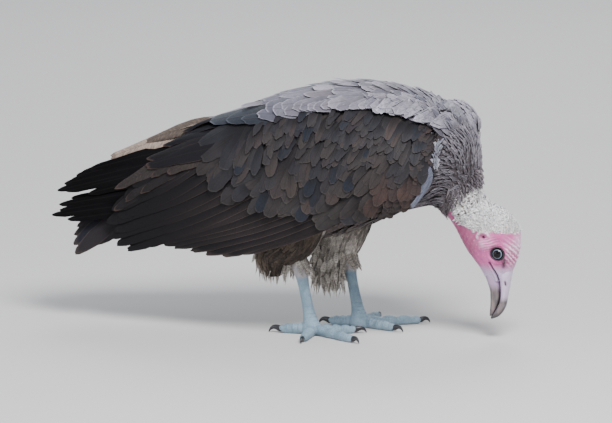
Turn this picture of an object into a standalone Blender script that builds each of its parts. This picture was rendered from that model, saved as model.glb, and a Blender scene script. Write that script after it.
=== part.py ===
"""Hooded vulture (Necrosyrtes monachus), life size, standing with its head down to feed.

The bird faces +X, +Z is up and its right side is at -Y. Tables are in millimetres, in a frame
whose floor is z = 0. At the end the bird is centred over the origin.
"""

import math

import bpy
import numpy as np

MM = 0.001
GAP = 0.3
SIDES = {"right": -1, "left": 1}

# The closed form of the folded wings and back, read along x: (x, value).
FOLDED_HALF_WIDTH = ((-300, 24), (-250, 34), (-200, 46), (-150, 58), (-100, 70), (-50, 81),
                     (0, 90), (50, 97), (100, 102), (150, 104), (200, 101), (220, 95))
BACK_LINE = ((-300, 190), (-250, 205), (-200, 220), (-150, 233), (-108, 243), (-64, 260),
             (-8, 283), (55, 299), (118, 302), (168, 291), (206, 270), (235, 246))
WAIST_LINE = ((-300, 120), (-200, 150), (-100, 172), (0, 188), (100, 200), (235, 212))

# Body stations: back edge x, z, belly edge x, z, half width.
TRUNK = ((-151, 193, -147, 170, 14), (-134, 208, -124, 152, 29), (-100, 225, -88, 132, 44),
         (-45, 250, -30, 112, 60), (20, 274, 25, 108, 71), (85, 287, 80, 122, 77),
         (140, 281, 126, 142, 77), (183, 265, 160, 156, 69), (214, 243, 180, 162, 54))
NECK = ((215.0, 242.2, 180.4, 161.6, 54), (231, 222, 189.5, 158, 42), (238, 201, 196.5, 152.5, 33),
        (241, 182, 203.5, 143.5, 28), (252.6, 166.4, 211.8, 131.6, 25))
HEAD = ((253, 166, 212.2, 131.1, 24.9), (275, 154, 220, 117, 25), (289.5, 136, 227, 106, 24.8),
        (291, 119, 234, 98, 22.6), (288, 101, 240, 90, 19.0), (284.5, 89, 244.5, 83, 15.4),
        (281, 80, 247, 77, 12.2))
UPPER_BILL = ((281, 79.6, 262.4, 77.8, 11.4), (279, 67, 264, 66, 9.8), (277, 55, 264.4, 55, 8.6),
              (276.4, 46, 263.6, 45, 7.6), (273, 36, 261, 35, 6.2), (266, 28.4, 258, 29, 4.2),
              (256, 24.6, 255.2, 26.4, 1.2))
LOWER_BILL = ((261.8, 77.6, 247, 76.6, 10.6), (263.4, 66, 250.4, 67, 8.4),
              (263.8, 55, 254.6, 55.4, 6.6), (262.6, 45, 257, 44.8, 4.8), (259.4, 34, 258, 33.6, 1.6))

TRUNK_FULLNESS = 2.2
NECK_FULLNESS = 2.1

EYE = (269, 14.6, 107)
EYE_RADIUS = 8.4

# Wing lines, each a row of (x, z) from the lower front to the upper rear.
LEADING_EDGE = ((120, 150), (160, 158), (186, 176), (200, 204), (208, 236), (203, 266))
GREATER_COVERT_TIPS = ((92, 148), (62, 146), (40, 146), (10, 151), (-30, 163), (-60, 175),
                       (-84, 189), (-103, 206), (-114, 225))
SECONDARY_TIPS = ((46, 132), (-6, 110), (-58, 94), (-97, 91), (-146, 95), (-191, 94),
                  (-216, 111), (-210, 139), (-204, 167))
# Tertials, a roof over the rump: outer root, outer tip, inner root and inner tip, as (x, y, z).
TERTIALS = ((-115, 52, 226), (-207, 37, 175), (-115, 3, 239), (-214, 9, 192))
TERTIAL_FEATHERS = 4
TERTIAL_CROWN = 7
FAR_WING_REACH = (-22, 0, 3)
# Where the lesser, median and greater coverts end, as shares of the way back from the bend.
COVERT_BANDS = (0.5, 0.74, 1.0)
COVERTS_ACROSS = 9
COVERT_TIP_ROUNDING = 0.035
WING_ARCH = 46
BEND_ROUNDING = 14
COVERT_THICKNESS = (5.4, 24)
BODY_CLEARANCE = 3.5
# How far each layer lies inside the closed form, and how far a feather stands over the next.
COVERT_DEPTH = 2.4
COVERT_STEP = 1.6
COVERT_LAP = 0.5
SECONDARY_DEPTH = 2.6
SECONDARY_THICKNESS = 3.2
FLIGHT_LAP = 1.2
SECONDARIES = 12
SECONDARY_NOTCH = 0.10
PRIMARY_ROOTS = ((-154, 157), (-154, 170), (-154, 183), (-154, 196), (-154, 208))
PRIMARY_TIPS = ((-287, 124), (-285, 134), (-282, 147), (-279, 157), (-262, 176))
PRIMARY_NOTCHES = (0.12, 0.1, 0.36, 0.16, 0.12)
PRIMARY_THICKNESS = 2.6
SCAPULAR_EDGE = ((-112, 226), (-65, 247), (-9, 270), (53, 279), (108, 277), (140, 268),
                 (170, 262), (206, 252))
SCAPULAR_SPAN = (-112, 212)
SCAPULAR_TUFTS = 9
SCAPULAR_LIFT = 1.6

# Tail fan.
TAIL_ROOT = (-153, 186)
TAIL_TIP = (-264, 127)
TAIL_HALF_WIDTHS = (16, 40)
TAIL_DROOP = (12, 44)
TAIL_FEATHERS = 10
TAIL_NOTCH = 0.055
TAIL_ROOT_THICKNESS = 5

# Legs: each ankle's x and distance out, the shin's heights, and how far back its heel leans.
ANKLE = {"right": (40, 32), "left": (81, 31)}
ANKLE_HEIGHT = 17
HEEL_HEIGHT = 84
HEEL_BACK = 14
# Middle line of each feathered thigh, as x places from hip to hem, and the hem's height.
THIGH_LINE = {"right": (26, 12, -2, -3), "left": (70, 60, 46, 41)}
THIGH_HEM = {"right": 70, "left": 50}
THIGH_RADII = ((31,), (28,), (20,), (6,))
# Height and radius up the foot pad and up the shin.
PAD_PROFILE = ((0, 9), (0.2, 12), (5, 12.6), (10, 11.4), (14, 9.2), (ANKLE_HEIGHT - GAP, 7.6))
SHIN_PROFILE = ((ANKLE_HEIGHT, 7.4), (30, 6.1), (50, 6.0), (66, 6.8), (77, 7.8), (HEEL_HEIGHT, 5.4))
# Toes: heading in degrees from straight ahead, outwards, then length, base and tip radius.
TOES = {"inner": (-22, 34, 5.8, 4.8), "middle": (34, 58, 6.2, 4.8),
        "outer": (86, 40, 6.0, 4.6), "hind": (176, 24, 6.4, 5.2)}
CLAWS = {"inner": 17, "middle": 15, "outer": 13, "hind": 18}
# The toes leave a point this far ahead of the ankle, and start this far out from it.
PAD_FORWARD = 3.5
TOE_START = 15.4

COLOURS = {"plumage_dark": (0.030, 0.022, 0.018), "flight_black": (0.008, 0.007, 0.008),
           "mantle_pale": (0.150, 0.118, 0.105), "down_white": (0.62, 0.56, 0.50),
           "face_skin": (0.72, 0.27, 0.33), "bill_horn": (0.20, 0.17, 0.17),
           "trousers_brown": (0.10, 0.078, 0.062), "leg_scale": (0.33, 0.42, 0.48),
           "claw_black": (0.012, 0.012, 0.014), "eye_dark": (0.012, 0.009, 0.008)}
ROUGHNESS = {"eye_dark": 0.08, "bill_horn": 0.35, "claw_black": 0.3, "face_skin": 0.5}


def clear_scene():
    for obj in list(bpy.data.objects):
        bpy.data.objects.remove(obj, do_unlink=True)


def material(name):
    """The Principled material of this name, made once."""
    made = bpy.data.materials.get(name)
    if made is None:
        made = bpy.data.materials.new(name)
        made.use_nodes = True
        shader = made.node_tree.nodes["Principled BSDF"]
        shader.inputs["Base Color"].default_value = (*COLOURS[name], 1)
        shader.inputs["Roughness"].default_value = ROUGHNESS.get(name, 0.8)
    return made


def smooth_at(keys, at):
    """Cubic Hermite curve through rows of (position, values...), read at the given positions."""
    keys = np.asarray(keys, float)
    places, values = keys[:, 0], keys[:, 1:]
    slopes = np.gradient(values, places, axis=0)
    at = np.clip(np.asarray(at, float), places[0], places[-1])
    i = np.clip(np.searchsorted(places, at, side="right") - 1, 0, len(places) - 2)
    span = (places[i + 1] - places[i])[..., None]
    t = (at[..., None] - places[i][..., None]) / span
    return ((1 + 2 * t) * (1 - t) ** 2 * values[i] + t * (1 - t) ** 2 * span * slopes[i]
            + t * t * (3 - 2 * t) * values[i + 1] + t * t * (t - 1) * span * slopes[i + 1])


def through(rows, at):
    """The same curve through evenly numbered rows, read at shares of its length from 0 to 1."""
    rows = np.asarray(rows, float)
    numbered = np.column_stack((np.linspace(0, 1, len(rows)), rows))
    return smooth_at(numbered, at)


def flank(x, z):
    """Half width of the folded bird at a place seen from the side: an ellipse above the waist
    line and a slow draw-in below it."""
    half, top, waist = (smooth_at(k, x)[..., 0] for k in (FOLDED_HALF_WIDTH, BACK_LINE, WAIST_LINE))
    above = np.clip((z - waist) / (top - waist), 0, 0.97)
    below = np.clip((waist - z) / 100, 0, 2)
    return half * np.sqrt(1 - above ** 2) * (1 - 0.12 * below ** 2)


def add_object(name, points, faces, colour, sharp_degrees=35):
    mesh = bpy.data.meshes.new(name)
    mesh.from_pydata((np.asarray(points) * MM).tolist(), [], faces)
    corners = np.asarray(points)
    volume = sum(np.dot(corners[f[0]], np.cross(corners[f[i]], corners[f[i + 1]]))
                 for f in faces for i in range(1, len(f) - 1))
    if volume < 0:
        mesh.flip_normals()
    mesh.shade_smooth()
    mesh.set_sharp_from_angle(angle=math.radians(sharp_degrees))
    mesh.materials.append(material(colour))
    obj = bpy.data.objects.new(name, mesh)
    bpy.context.scene.collection.objects.link(obj)
    return obj


def ring_solid(name, rings, colour, sharp_degrees=35):
    """Closed form through a stack of rings, each end shut by a fan to the ring's middle."""
    count, sides = rings.shape[:2]
    points = np.concatenate((rings.reshape(-1, 3), rings[[0, -1]].mean(axis=1)))
    faces = []
    for i in range(count - 1):
        for j in range(sides):
            k = (j + 1) % sides
            faces.append((i * sides + j, i * sides + k, (i + 1) * sides + k, (i + 1) * sides + j))
    last = (count - 1) * sides
    for j in range(sides):
        k = (j + 1) % sides
        faces.append((count * sides, k, j))
        faces.append((count * sides + 1, last + j, last + k))
    return add_object(name, points, faces, colour, sharp_degrees)


def plate_solid(name, outer, inner, colour):
    """Closed thin form between an outer and an inner grid of the same size."""
    rows, columns = outer.shape[:2]
    points = np.concatenate((outer.reshape(-1, 3), inner.reshape(-1, 3)))
    back = rows * columns
    faces = []
    for i in range(rows - 1):
        for j in range(columns - 1):
            a = i * columns + j
            quad = (a, a + 1, a + columns + 1, a + columns)
            faces.append(quad)
            faces.append(tuple(back + p for p in reversed(quad)))
    rim = list(range(columns))
    rim += [i * columns + columns - 1 for i in range(1, rows)]
    rim += [(rows - 1) * columns + j for j in range(columns - 2, -1, -1)]
    rim += [i * columns for i in range(rows - 2, 0, -1)]
    for a, b in zip(rim, rim[1:] + rim[:1]):
        faces.append((b, a, back + a, back + b))
    return add_object(name, points, faces, colour, 25)


def edge_rings(stations, count, sides, fullness=2.0):
    """Rings between a back edge and a belly edge, each a superellipse of the given fullness."""
    rows = through(stations, np.linspace(0, 1, count))
    angle = np.arange(sides) * 2 * math.pi / sides
    across = np.sign(np.cos(angle)) * np.abs(np.cos(angle)) ** (2 / fullness)
    up = np.sign(np.sin(angle)) * np.abs(np.sin(angle)) ** (2 / fullness)
    middle = (rows[:, None, 0:2] + rows[:, None, 2:4]) / 2
    half = (rows[:, None, 0:2] - rows[:, None, 2:4]) / 2
    side_view = middle + half * up[None, :, None]
    return np.stack((side_view[..., 0], rows[:, 4:5] * across, side_view[..., 1]), axis=-1)


def tube_rings(path, radii, sides, flatten=(1, 1)):
    """Rings of the given radii round a path, square to it, with z never below the floor."""
    path = np.asarray(path, float)
    along = np.gradient(path, axis=0)
    along /= np.linalg.norm(along, axis=1, keepdims=True)
    guide = np.array((0, 0, 1.0)) if abs(along[0, 2]) < 0.7 else np.array((1.0, 0, 0))
    side = np.cross(along, guide)
    side /= np.linalg.norm(side, axis=1, keepdims=True)
    up = np.cross(side, along)
    angle = (np.arange(sides) + 0.5) * 2 * math.pi / sides
    rings = (path[:, None] + np.asarray(radii)[:, None, None]
             * (np.cos(angle)[None, :, None] * side[:, None] * flatten[0]
                + np.sin(angle)[None, :, None] * up[:, None] * flatten[1]))
    rings[..., 2] = np.maximum(rings[..., 2], 0)
    return rings


def build_trunk():
    return ring_solid("trunk", edge_rings(TRUNK, 15, 20, TRUNK_FULLNESS), "plumage_dark")


def build_neck():
    return ring_solid("neck", edge_rings(NECK, 6, 20, NECK_FULLNESS), "down_white")


def build_head():
    """Skull and face, with a socket for each eye."""
    head = ring_solid("head", edge_rings(HEAD, 10, 20, NECK_FULLNESS), "face_skin")
    for side in SIDES:
        socket = build_ball(f"socket_{side}", side, EYE_RADIUS + GAP, 12)
        socket.hide_render = True
        socket.display_type = "WIRE"
        cut(head, socket)
    return head


def build_ball(name, side, radius, sides):
    """A ball at the eye's place, its poles across the head."""
    polar = np.linspace(0, math.pi, sides // 2 + 1)[1:-1]
    round_ = np.arange(sides) * 2 * math.pi / sides
    ring = np.stack((np.sin(polar)[:, None] * np.cos(round_),
                     np.repeat(np.cos(polar)[:, None], sides, axis=1),
                     np.sin(polar)[:, None] * np.sin(round_)), axis=-1)
    centre = np.array((EYE[0], SIDES[side] * EYE[1], EYE[2]))
    points = np.concatenate((centre + radius * ring.reshape(-1, 3),
                             [centre + (0, radius, 0), centre - (0, radius, 0)]))
    rows = len(polar)
    faces = [(i * sides + j, i * sides + (j + 1) % sides,
              (i + 1) * sides + (j + 1) % sides, (i + 1) * sides + j)
             for i in range(rows - 1) for j in range(sides)]
    faces += [(rows * sides, (j + 1) % sides, j) for j in range(sides)]
    last = (rows - 1) * sides
    faces += [(rows * sides + 1, last + j, last + (j + 1) % sides) for j in range(sides)]
    return add_object(name, points, faces, "eye_dark", 60)


def cut(obj, cutter):
    boolean = obj.modifiers.new(f"cut_{cutter.name}", "BOOLEAN")
    boolean.operation = "DIFFERENCE"
    boolean.solver = "EXACT"
    boolean.object = cutter


def cut_clear_of(obj, neighbour):
    """Cuts an object back from its neighbour, with a copy grown by twice the gap."""
    grown = neighbour.copy()
    grown.data = neighbour.data.copy()
    grown.name = f"{obj.name}_clear_of_{neighbour.name}"
    bpy.context.scene.collection.objects.link(grown)
    swell = grown.modifiers.new("grow", "DISPLACE")
    swell.strength = 2 * GAP * MM
    swell.mid_level = 0
    grown.hide_render = True
    grown.display_type = "WIRE"
    cut(obj, grown)


def build_bill():
    upper = ring_solid("upper_bill", edge_rings(UPPER_BILL, 10, 12, 2.2), "bill_horn")
    lower = ring_solid("lower_bill", edge_rings(LOWER_BILL, 7, 10, 2.2), "bill_horn")
    return upper, lower


def shingles(count, samples):
    """Column places across a row of feathers and how far each stands into its own feather."""
    within = np.tile(np.linspace(0, 1, samples), count)
    place = (np.repeat(np.arange(count), samples) + within) / count
    return place, within


def on_side(side, seen, depth):
    """Points from a side view (x, z) and a distance out from the middle plane."""
    return np.stack((seen[..., 0], SIDES[side] * depth, seen[..., 1]), axis=-1)


def trunk_half_width(seen):
    """Half width of the trunk where a line across the bird meets it, 0 outside its outline."""
    rings = edge_rings(TRUNK, 60, 80, TRUNK_FULLNESS)
    rings = rings[rings[..., 1] >= 0]
    flat = seen.reshape(-1, 2)
    away = np.linalg.norm(flat[:, None] - rings[None, :, (0, 2)], axis=-1)
    ring_spacing = 6
    width = np.where(away.min(axis=1) < ring_spacing, rings[away.argmin(axis=1), 1], 0)
    return width.reshape(seen.shape[:-1])


def build_wing_coverts(side):
    """Front of the folded wing: lesser, median and greater coverts as three lapped bands that
    run from the rounded leading edge to the greater coverts' round tips."""
    across, within = shingles(COVERTS_ACROSS, 3)
    tip_shape = (2 * within - 1) ** 2
    lesser, median, greater = COVERT_BANDS
    along = np.array((0, 0.06, 0.2, 0.35, lesser, lesser, median, median, greater))[:, None]
    step = np.array((0, 0, 0, 0.4, 1, 0, 1, 0, 1))[:, None]
    reach = along - COVERT_TIP_ROUNDING * tip_shape * step ** 2
    front = through(LEADING_EDGE, across)
    rear = through(GREATER_COVERT_TIPS, across)
    seen = front + (rear - front) * reach[..., None]
    seen[..., 1] += across ** 2 * WING_ARCH * np.sin(math.pi * reach)
    envelope = flank(seen[..., 0], seen[..., 1])
    bend = np.clip(1 - along / 0.2, 0, 1) ** 3
    outer = (envelope - COVERT_DEPTH + COVERT_STEP * step + COVERT_LAP * within
             - BEND_ROUNDING * bend)
    thin, thick = COVERT_THICKNESS
    inner = np.clip(trunk_half_width(seen) + BODY_CLEARANCE, envelope - thick, envelope - thin)
    inner = np.where(along > 0, inner, outer - 3)
    return plate_solid(f"wing_{side}_coverts", on_side(side, seen, outer),
                       on_side(side, seen, np.minimum(inner, outer - 2)), "plumage_dark")


def tip_lengths(within, notch_before, notch_after):
    """Length share of a feather with a round tip: 1 on its shaft, less at its two edges."""
    away = 2 * within - 1
    return 1 - np.where(away < 0, notch_before, notch_after) * np.abs(away) ** 2.4


def feather_fan(side, name, roots, tips, count, notch, depth_of, thickness, colour,
                samples=3, rows=4):
    """A fan of lapped flight feathers with round tips between a root line and a tip line."""
    across, within = shingles(count, samples)
    notches = np.broadcast_to(notch, count + 1)
    feather = np.repeat(np.arange(count), samples)
    shaft = (feather + 0.5) / count
    length = tip_lengths(within, notches[feather], notches[feather + 1])
    root = through(roots, across)
    tip = through(tips, (shaft + across) / 2)
    share = np.linspace(0, 1, rows)[:, None] ** 0.8
    seen = root + (tip - root) * (share * length)[..., None]
    depth = depth_of(seen[..., 0], seen[..., 1])
    inner = depth - thickness * (1 - 0.5 * share)
    return plate_solid(name, on_side(side, seen, depth + FLIGHT_LAP * within),
                       on_side(side, seen, inner), colour)


def build_wing_secondaries(side):
    """Secondaries and tertials, from just behind the greater coverts to their ragged tips."""
    roots = np.array(GREATER_COVERT_TIPS, float)
    tips = np.array(SECONDARY_TIPS, float)
    toward = (tips - roots) / np.linalg.norm(tips - roots, axis=1, keepdims=True)
    roots += toward * 4 * GAP
    return feather_fan(side, f"wing_{side}_secondaries", roots, tips, SECONDARIES,
                       SECONDARY_NOTCH, lambda x, z: flank(x, z) - SECONDARY_DEPTH,
                       SECONDARY_THICKNESS, "plumage_dark")


def build_wing_tertials(side):
    """The innermost wing feathers, which lie over the rump like one slope of a roof."""
    outer_root, outer_tip, inner_root, inner_tip = np.array(TERTIALS, float)
    if side == "left":
        outer_tip, inner_tip = outer_tip + FAR_WING_REACH, inner_tip + FAR_WING_REACH
    across, within = shingles(TERTIAL_FEATHERS, 4)
    share = np.linspace(0, 1, 5)[:, None] ** 0.8
    length = (share * tip_lengths(within, SECONDARY_NOTCH, SECONDARY_NOTCH))[..., None]
    across = across[None, :, None]
    root = outer_root + (inner_root - outer_root) * across
    tip = outer_tip + (inner_tip - outer_tip) * across
    place = root + (tip - root) * length
    place[..., 2] += TERTIAL_CROWN * np.sin(math.pi * across[..., 0])
    place[..., 1] *= SIDES[side]
    lap = FLIGHT_LAP * within[:, None] * (0, 0, 1)
    return plate_solid(f"wing_{side}_tertials", place + lap, place - (0, 0, SECONDARY_THICKNESS),
                       "plumage_dark")


def build_wing_primaries(side):
    """The black primaries, whose finger tips stand out past the tertials over the tail."""
    def depth_of(x, z):
        """The two wings lean together over the tail, and close towards their tips."""
        return 31 + 8 * np.clip((x + 290) / 150, 0, 1) - 0.32 * (z - 124)
    return feather_fan(side, f"wing_{side}_primaries", PRIMARY_ROOTS, PRIMARY_TIPS, 4,
                       PRIMARY_NOTCHES, depth_of, PRIMARY_THICKNESS, "flight_black",
                       samples=4, rows=6)


def build_scapulars(side):
    """Pale cape feathers of one side, from the mid line of the back to their ragged edge."""
    columns = 21
    x = np.linspace(*SCAPULAR_SPAN, columns)
    edge = smooth_at(SCAPULAR_EDGE, x)[:, 0]
    edge += 3.5 * np.abs(np.sin(np.linspace(0, SCAPULAR_TUFTS, columns) * math.pi)) - 2
    half, top, waist = (smooth_at(k, x)[:, 0] for k in (FOLDED_HALF_WIDTH, BACK_LINE, WAIST_LINE))
    low = np.arcsin(np.clip((edge - waist) / (top - waist), 0.2, 0.93))
    share = np.array((0, 0.2, 0.45, 0.45, 0.7, 1.0))[:, None]
    step = np.array((0.2, 0.6, 1, 0, 0.5, 1))[:, None]
    angle = low + (math.pi / 2 - low) * (1 - share)
    taper = np.clip(np.minimum((x - x[0]) / 30, (x[-1] - x) / 26), 0, 1) ** 0.5

    def surface(lift):
        y = (half + lift) * np.cos(angle)
        y = np.maximum(y, GAP / 2)
        z = waist + (top - waist + lift) * np.sin(angle)
        return np.stack((x + 0 * angle, SIDES[side] * y, z), axis=-1)
    thickness = GAP + (4.6 - 1.7 * share + 1.3 * step) * taper
    return plate_solid(f"scapulars_{side}", surface(SCAPULAR_LIFT + thickness),
                       surface(SCAPULAR_LIFT + 0 * thickness), "mantle_pale")


def build_tail():
    """Tail fan of lapped feathers with round tips, arched like a roof and thickest at its root."""
    across, within = shingles(TAIL_FEATHERS, 3)
    spread = 2 * across - 1
    share = np.linspace(0, 1, 4)[:, None] ** 0.85
    length = share * (1 - 0.05 * spread ** 2) * tip_lengths(within, TAIL_NOTCH, TAIL_NOTCH)

    def along_tail(ends):
        return ends[0] + (ends[1] - ends[0]) * length
    root, tip = TAIL_ROOT, TAIL_TIP
    x = along_tail((root[0], tip[0]))
    y = spread * along_tail(TAIL_HALF_WIDTHS)
    z = along_tail((root[1], tip[1])) - along_tail(TAIL_DROOP) * np.abs(spread) ** 1.6
    lap = np.where(spread < 0, within, 1 - within)
    top = np.stack((x, y, z + 1 + lap), axis=-1)
    bottom = np.stack((x, y, z - 1 - TAIL_ROOT_THICKNESS * (1 - share)), axis=-1)
    return plate_solid("tail", top, bottom, "flight_black")


def build_leg(side, trunk):
    """Feathered thigh, scaled tarsus and foot pad of one leg."""
    ankle_x, apart = ANKLE[side]
    y = SIDES[side] * apart
    lean = HEEL_BACK / (HEEL_HEIGHT - ANKLE_HEIGHT)

    def level_rings(profile, sides):
        angle = np.arange(sides) * 2 * math.pi / sides
        return np.stack([np.stack((ankle_x - lean * (h - ANKLE_HEIGHT) + 1.12 * r * np.cos(angle),
                                   y + r * np.sin(angle), h + 0 * angle), axis=-1)
                         for h, r in profile])
    tarsus = ring_solid(f"tarsus_{side}", level_rings(SHIN_PROFILE, 10), "leg_scale")
    foot = ring_solid(f"foot_{side}", level_rings(PAD_PROFILE, 12), "leg_scale", 50)
    hem = THIGH_HEM[side]
    line = [(x, SIDES[side] * (apart + out), z)
            for x, out, z in zip(THIGH_LINE[side], (8, 7, 2, -2), (150, 118, hem + 24, hem))]
    stations = np.linspace(0, 1, 8)
    thigh = ring_solid(f"thigh_{side}", tube_rings(through(line, stations),
                                                   through(THIGH_RADII, stations)[:, 0], 16,
                                                   (0.8, 1.2)), "trousers_brown")
    cut_clear_of(thigh, trunk)
    cut_clear_of(thigh, tarsus)
    return thigh, tarsus, foot


def build_toe(side, name):
    """One toe with its flat sole on the floor, and its curved claw."""
    heading, length, base, tip = TOES[name]
    ankle_x, apart = ANKLE[side]
    turn = math.radians(heading)
    ahead = np.array((math.cos(turn), SIDES[side] * math.sin(turn)))
    centre = np.array((ankle_x + PAD_FORWARD, SIDES[side] * apart))

    def from_foot(reach, height):
        return [(*(centre + ahead * r), h) for r, h in zip(reach, height)]
    share = np.linspace(0, 1, 6)
    radii = (base + (tip - base) * share) * (1 + 0.07 * np.cos(share * 6 * math.pi))
    radii[-1] *= 0.72
    path = from_foot(TOE_START + length * share, radii * 0.86)
    ring_solid(f"toe_{side}_{name}", tube_rings(path, radii, 8), "leg_scale", 60)
    claw = CLAWS[name]
    reach = TOE_START + length + 4 * GAP + claw * 0.82 * np.sin(share * 1.25)
    height = (tip * 0.95 + claw * 0.1 * np.sin(share * math.pi)
              - (tip * 0.95 - 0.9) * share ** 1.5)
    radii = tip * 0.74 * (1 - 0.82 * share ** 1.2)
    ring_solid(f"claw_{side}_{name}", tube_rings(from_foot(reach, height), radii, 6, (0.8, 1)),
               "claw_black", 60)


def centre_over_origin():
    """Moves every mesh so that the bird's box stands on the origin, centred in x and y."""
    meshes = {obj.data for obj in bpy.data.objects if obj.type == "MESH"}
    seen = [obj for obj in bpy.data.objects if obj.type == "MESH" and not obj.hide_render]
    corners = np.array([v.co[:] for obj in seen for v in obj.data.vertices])
    low, high = corners.min(axis=0), corners.max(axis=0)
    shift = ((low[0] + high[0]) / 2, (low[1] + high[1]) / 2, low[2])
    for mesh in meshes:
        for vertex in mesh.vertices:
            vertex.co = [c - s for c, s in zip(vertex.co, shift)]


def main():
    clear_scene()
    trunk = build_trunk()
    build_neck()
    build_head()
    build_bill()
    build_tail()
    for side in SIDES:
        build_ball(f"eye_{side}", side, EYE_RADIUS, 12)
        build_wing_coverts(side)
        build_wing_secondaries(side)
        build_wing_tertials(side)
        build_wing_primaries(side)
        build_scapulars(side)
        build_leg(side, trunk)
        for name in TOES:
            build_toe(side, name)
    centre_over_origin()


main()
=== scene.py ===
import math

import bpy
import numpy as np
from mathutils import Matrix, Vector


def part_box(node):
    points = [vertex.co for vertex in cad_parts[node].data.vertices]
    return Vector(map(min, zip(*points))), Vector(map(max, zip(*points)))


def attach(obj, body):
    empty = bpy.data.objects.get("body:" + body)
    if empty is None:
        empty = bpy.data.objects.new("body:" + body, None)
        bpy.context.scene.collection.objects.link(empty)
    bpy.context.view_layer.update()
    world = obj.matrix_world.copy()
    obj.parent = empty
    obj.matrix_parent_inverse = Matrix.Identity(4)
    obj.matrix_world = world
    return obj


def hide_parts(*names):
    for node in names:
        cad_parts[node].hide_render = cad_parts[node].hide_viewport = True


# Looks of a life-size hooded vulture. Tables are in millimetres, in the frame of the bird's own
# drawing: +X is the way it faces, +Z is up, the floor is z = 0 and its right side is at -Y.
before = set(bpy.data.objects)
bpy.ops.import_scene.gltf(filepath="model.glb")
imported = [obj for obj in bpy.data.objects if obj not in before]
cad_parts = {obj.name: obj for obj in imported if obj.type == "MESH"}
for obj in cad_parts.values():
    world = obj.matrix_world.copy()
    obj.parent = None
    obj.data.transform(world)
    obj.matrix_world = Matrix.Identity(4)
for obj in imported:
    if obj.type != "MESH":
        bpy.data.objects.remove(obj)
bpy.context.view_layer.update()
MM = 0.001
SIDES = {"right": -1, "left": 1}
EYE = np.array((269, 14.6, 107.0))
EYE_RADIUS = 8.4
# How far the drawing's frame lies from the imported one: the eye's drawn place less its packed one.
SHIFT = EYE - sum(np.array(corner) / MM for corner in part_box("eye_left")) / 2

# The closed form of the folded wings and back, read along x: (x, value).
FOLDED_HALF_WIDTH = ((-300, 24), (-250, 34), (-200, 46), (-150, 58), (-100, 70), (-50, 81),
                     (0, 90), (50, 97), (100, 102), (150, 104), (200, 101), (220, 95))
BACK_LINE = ((-300, 190), (-250, 205), (-200, 220), (-150, 233), (-108, 243), (-64, 260),
             (-8, 283), (55, 299), (118, 302), (168, 291), (206, 270), (235, 246))
WAIST_LINE = ((-300, 120), (-200, 150), (-100, 172), (0, 188), (100, 200), (235, 212))
# Body stations from rump to bill: back edge x, z, belly edge x, z, half width, coat depth.
BODY = ((-151, 193, -147, 170, 14, 4), (-134, 208, -124, 152, 29, 5), (-100, 225, -88, 132, 44, 6),
        (-45, 250, -30, 112, 60, 6), (20, 274, 25, 108, 71, 6), (85, 287, 80, 122, 77, 6),
        (140, 281, 126, 142, 77, 6), (183, 265, 160, 156, 69, 6), (215, 242.2, 180.4, 161.6, 54, 6),
        (231, 222, 189.5, 158, 42, 5), (238, 201, 196.5, 152.5, 33, 3.5), (241, 182, 203.5, 143.5, 28, 2),
        (253, 166, 212, 131.3, 24.9, 1.4), (275, 154, 220, 117, 25, 1.0),
        (289.5, 136, 227, 106, 24.8, 0.5), (291, 119, 234, 98, 22.6, 0), (288, 101, 240, 90, 19, 0),
        (284.0, 89, 244.8, 83, 15.2, 0), (281.2, 81, 247.4, 77.5, 12.0, 0), (278.0, 73.5, 251.6, 70.5, 8.6, 0))
BODY_FULLNESS = 2.15
# Grid rows spent on each stretch between two stations, and columns round the body.
ROWS_PER_STRETCH = (3, 3, 3, 3, 3, 3, 3, 3, 7, 9, 10, 14, 22, 24, 28, 30, 30, 20, 14)
BODY_COLUMNS = 216

LEADING_EDGE = ((120, 150), (160, 158), (186, 176), (200, 204), (208, 236), (203, 266))
EDGE_X, EDGE_Z = zip(*LEADING_EDGE)
GREATER_COVERT_TIPS = ((92, 148), (62, 146), (40, 146), (10, 151), (-30, 163), (-60, 175),
                       (-84, 189), (-103, 206), (-114, 225))
SCAPULAR_EDGE = ((-112, 232), (-63, 253), (-8, 274), (59, 283), (100, 286), (122, 285), (141, 277),
                 (168, 275), (186, 264), (210, 263))


def smooth_at(keys, at):
    """Cubic Hermite curve through rows of (position, values...), read at the given positions."""
    keys = np.asarray(keys, float)
    places, values = keys[:, 0], keys[:, 1:]
    slopes = np.gradient(values, places, axis=0)
    at = np.clip(np.asarray(at, float), places[0], places[-1])
    i = np.clip(np.searchsorted(places, at, side="right") - 1, 0, len(places) - 2)
    span = (places[i + 1] - places[i])[..., None]
    t = (at[..., None] - places[i][..., None]) / span
    return ((1 + 2 * t) * (1 - t) ** 2 * values[i] + t * (1 - t) ** 2 * span * slopes[i]
            + t * t * (3 - 2 * t) * values[i + 1] + t * t * (t - 1) * span * slopes[i + 1])


def through(rows, at):
    """The same curve through evenly numbered rows, read at shares of its length from 0 to 1."""
    rows = np.asarray(rows, float)
    return smooth_at(np.column_stack((np.linspace(0, 1, len(rows)), rows)), at)


def ease(value, low, high):
    """Smooth step: 0 below low, 1 above high and 3t^2 - 2t^3 between."""
    t = np.clip((value - low) / (high - low), 0, 1)
    return t * t * (3 - 2 * t)


def stack(*parts):
    """One array that holds the parts along a new last axis."""
    return np.stack(parts, axis=-1)


def unit(vectors):
    """Vectors at length 1."""
    return vectors / np.maximum(np.linalg.norm(vectors, axis=-1, keepdims=True), 1e-9)


def mix(a, b, share):
    """From a to b by the share: a + (b - a) share."""
    return a + (b - a) * share


def hill(*shares):
    """Gaussian hill exp(-a^2 - b^2 ...), which is 1 where every share is nought."""
    return np.exp(-sum(share ** 2 for share in shares))


def ridges(value, period, fullness):
    """Rounded ridges 1 - |sin|^fullness, one to a period."""
    return 1 - np.abs(np.sin(value * math.pi / period)) ** fullness


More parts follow.
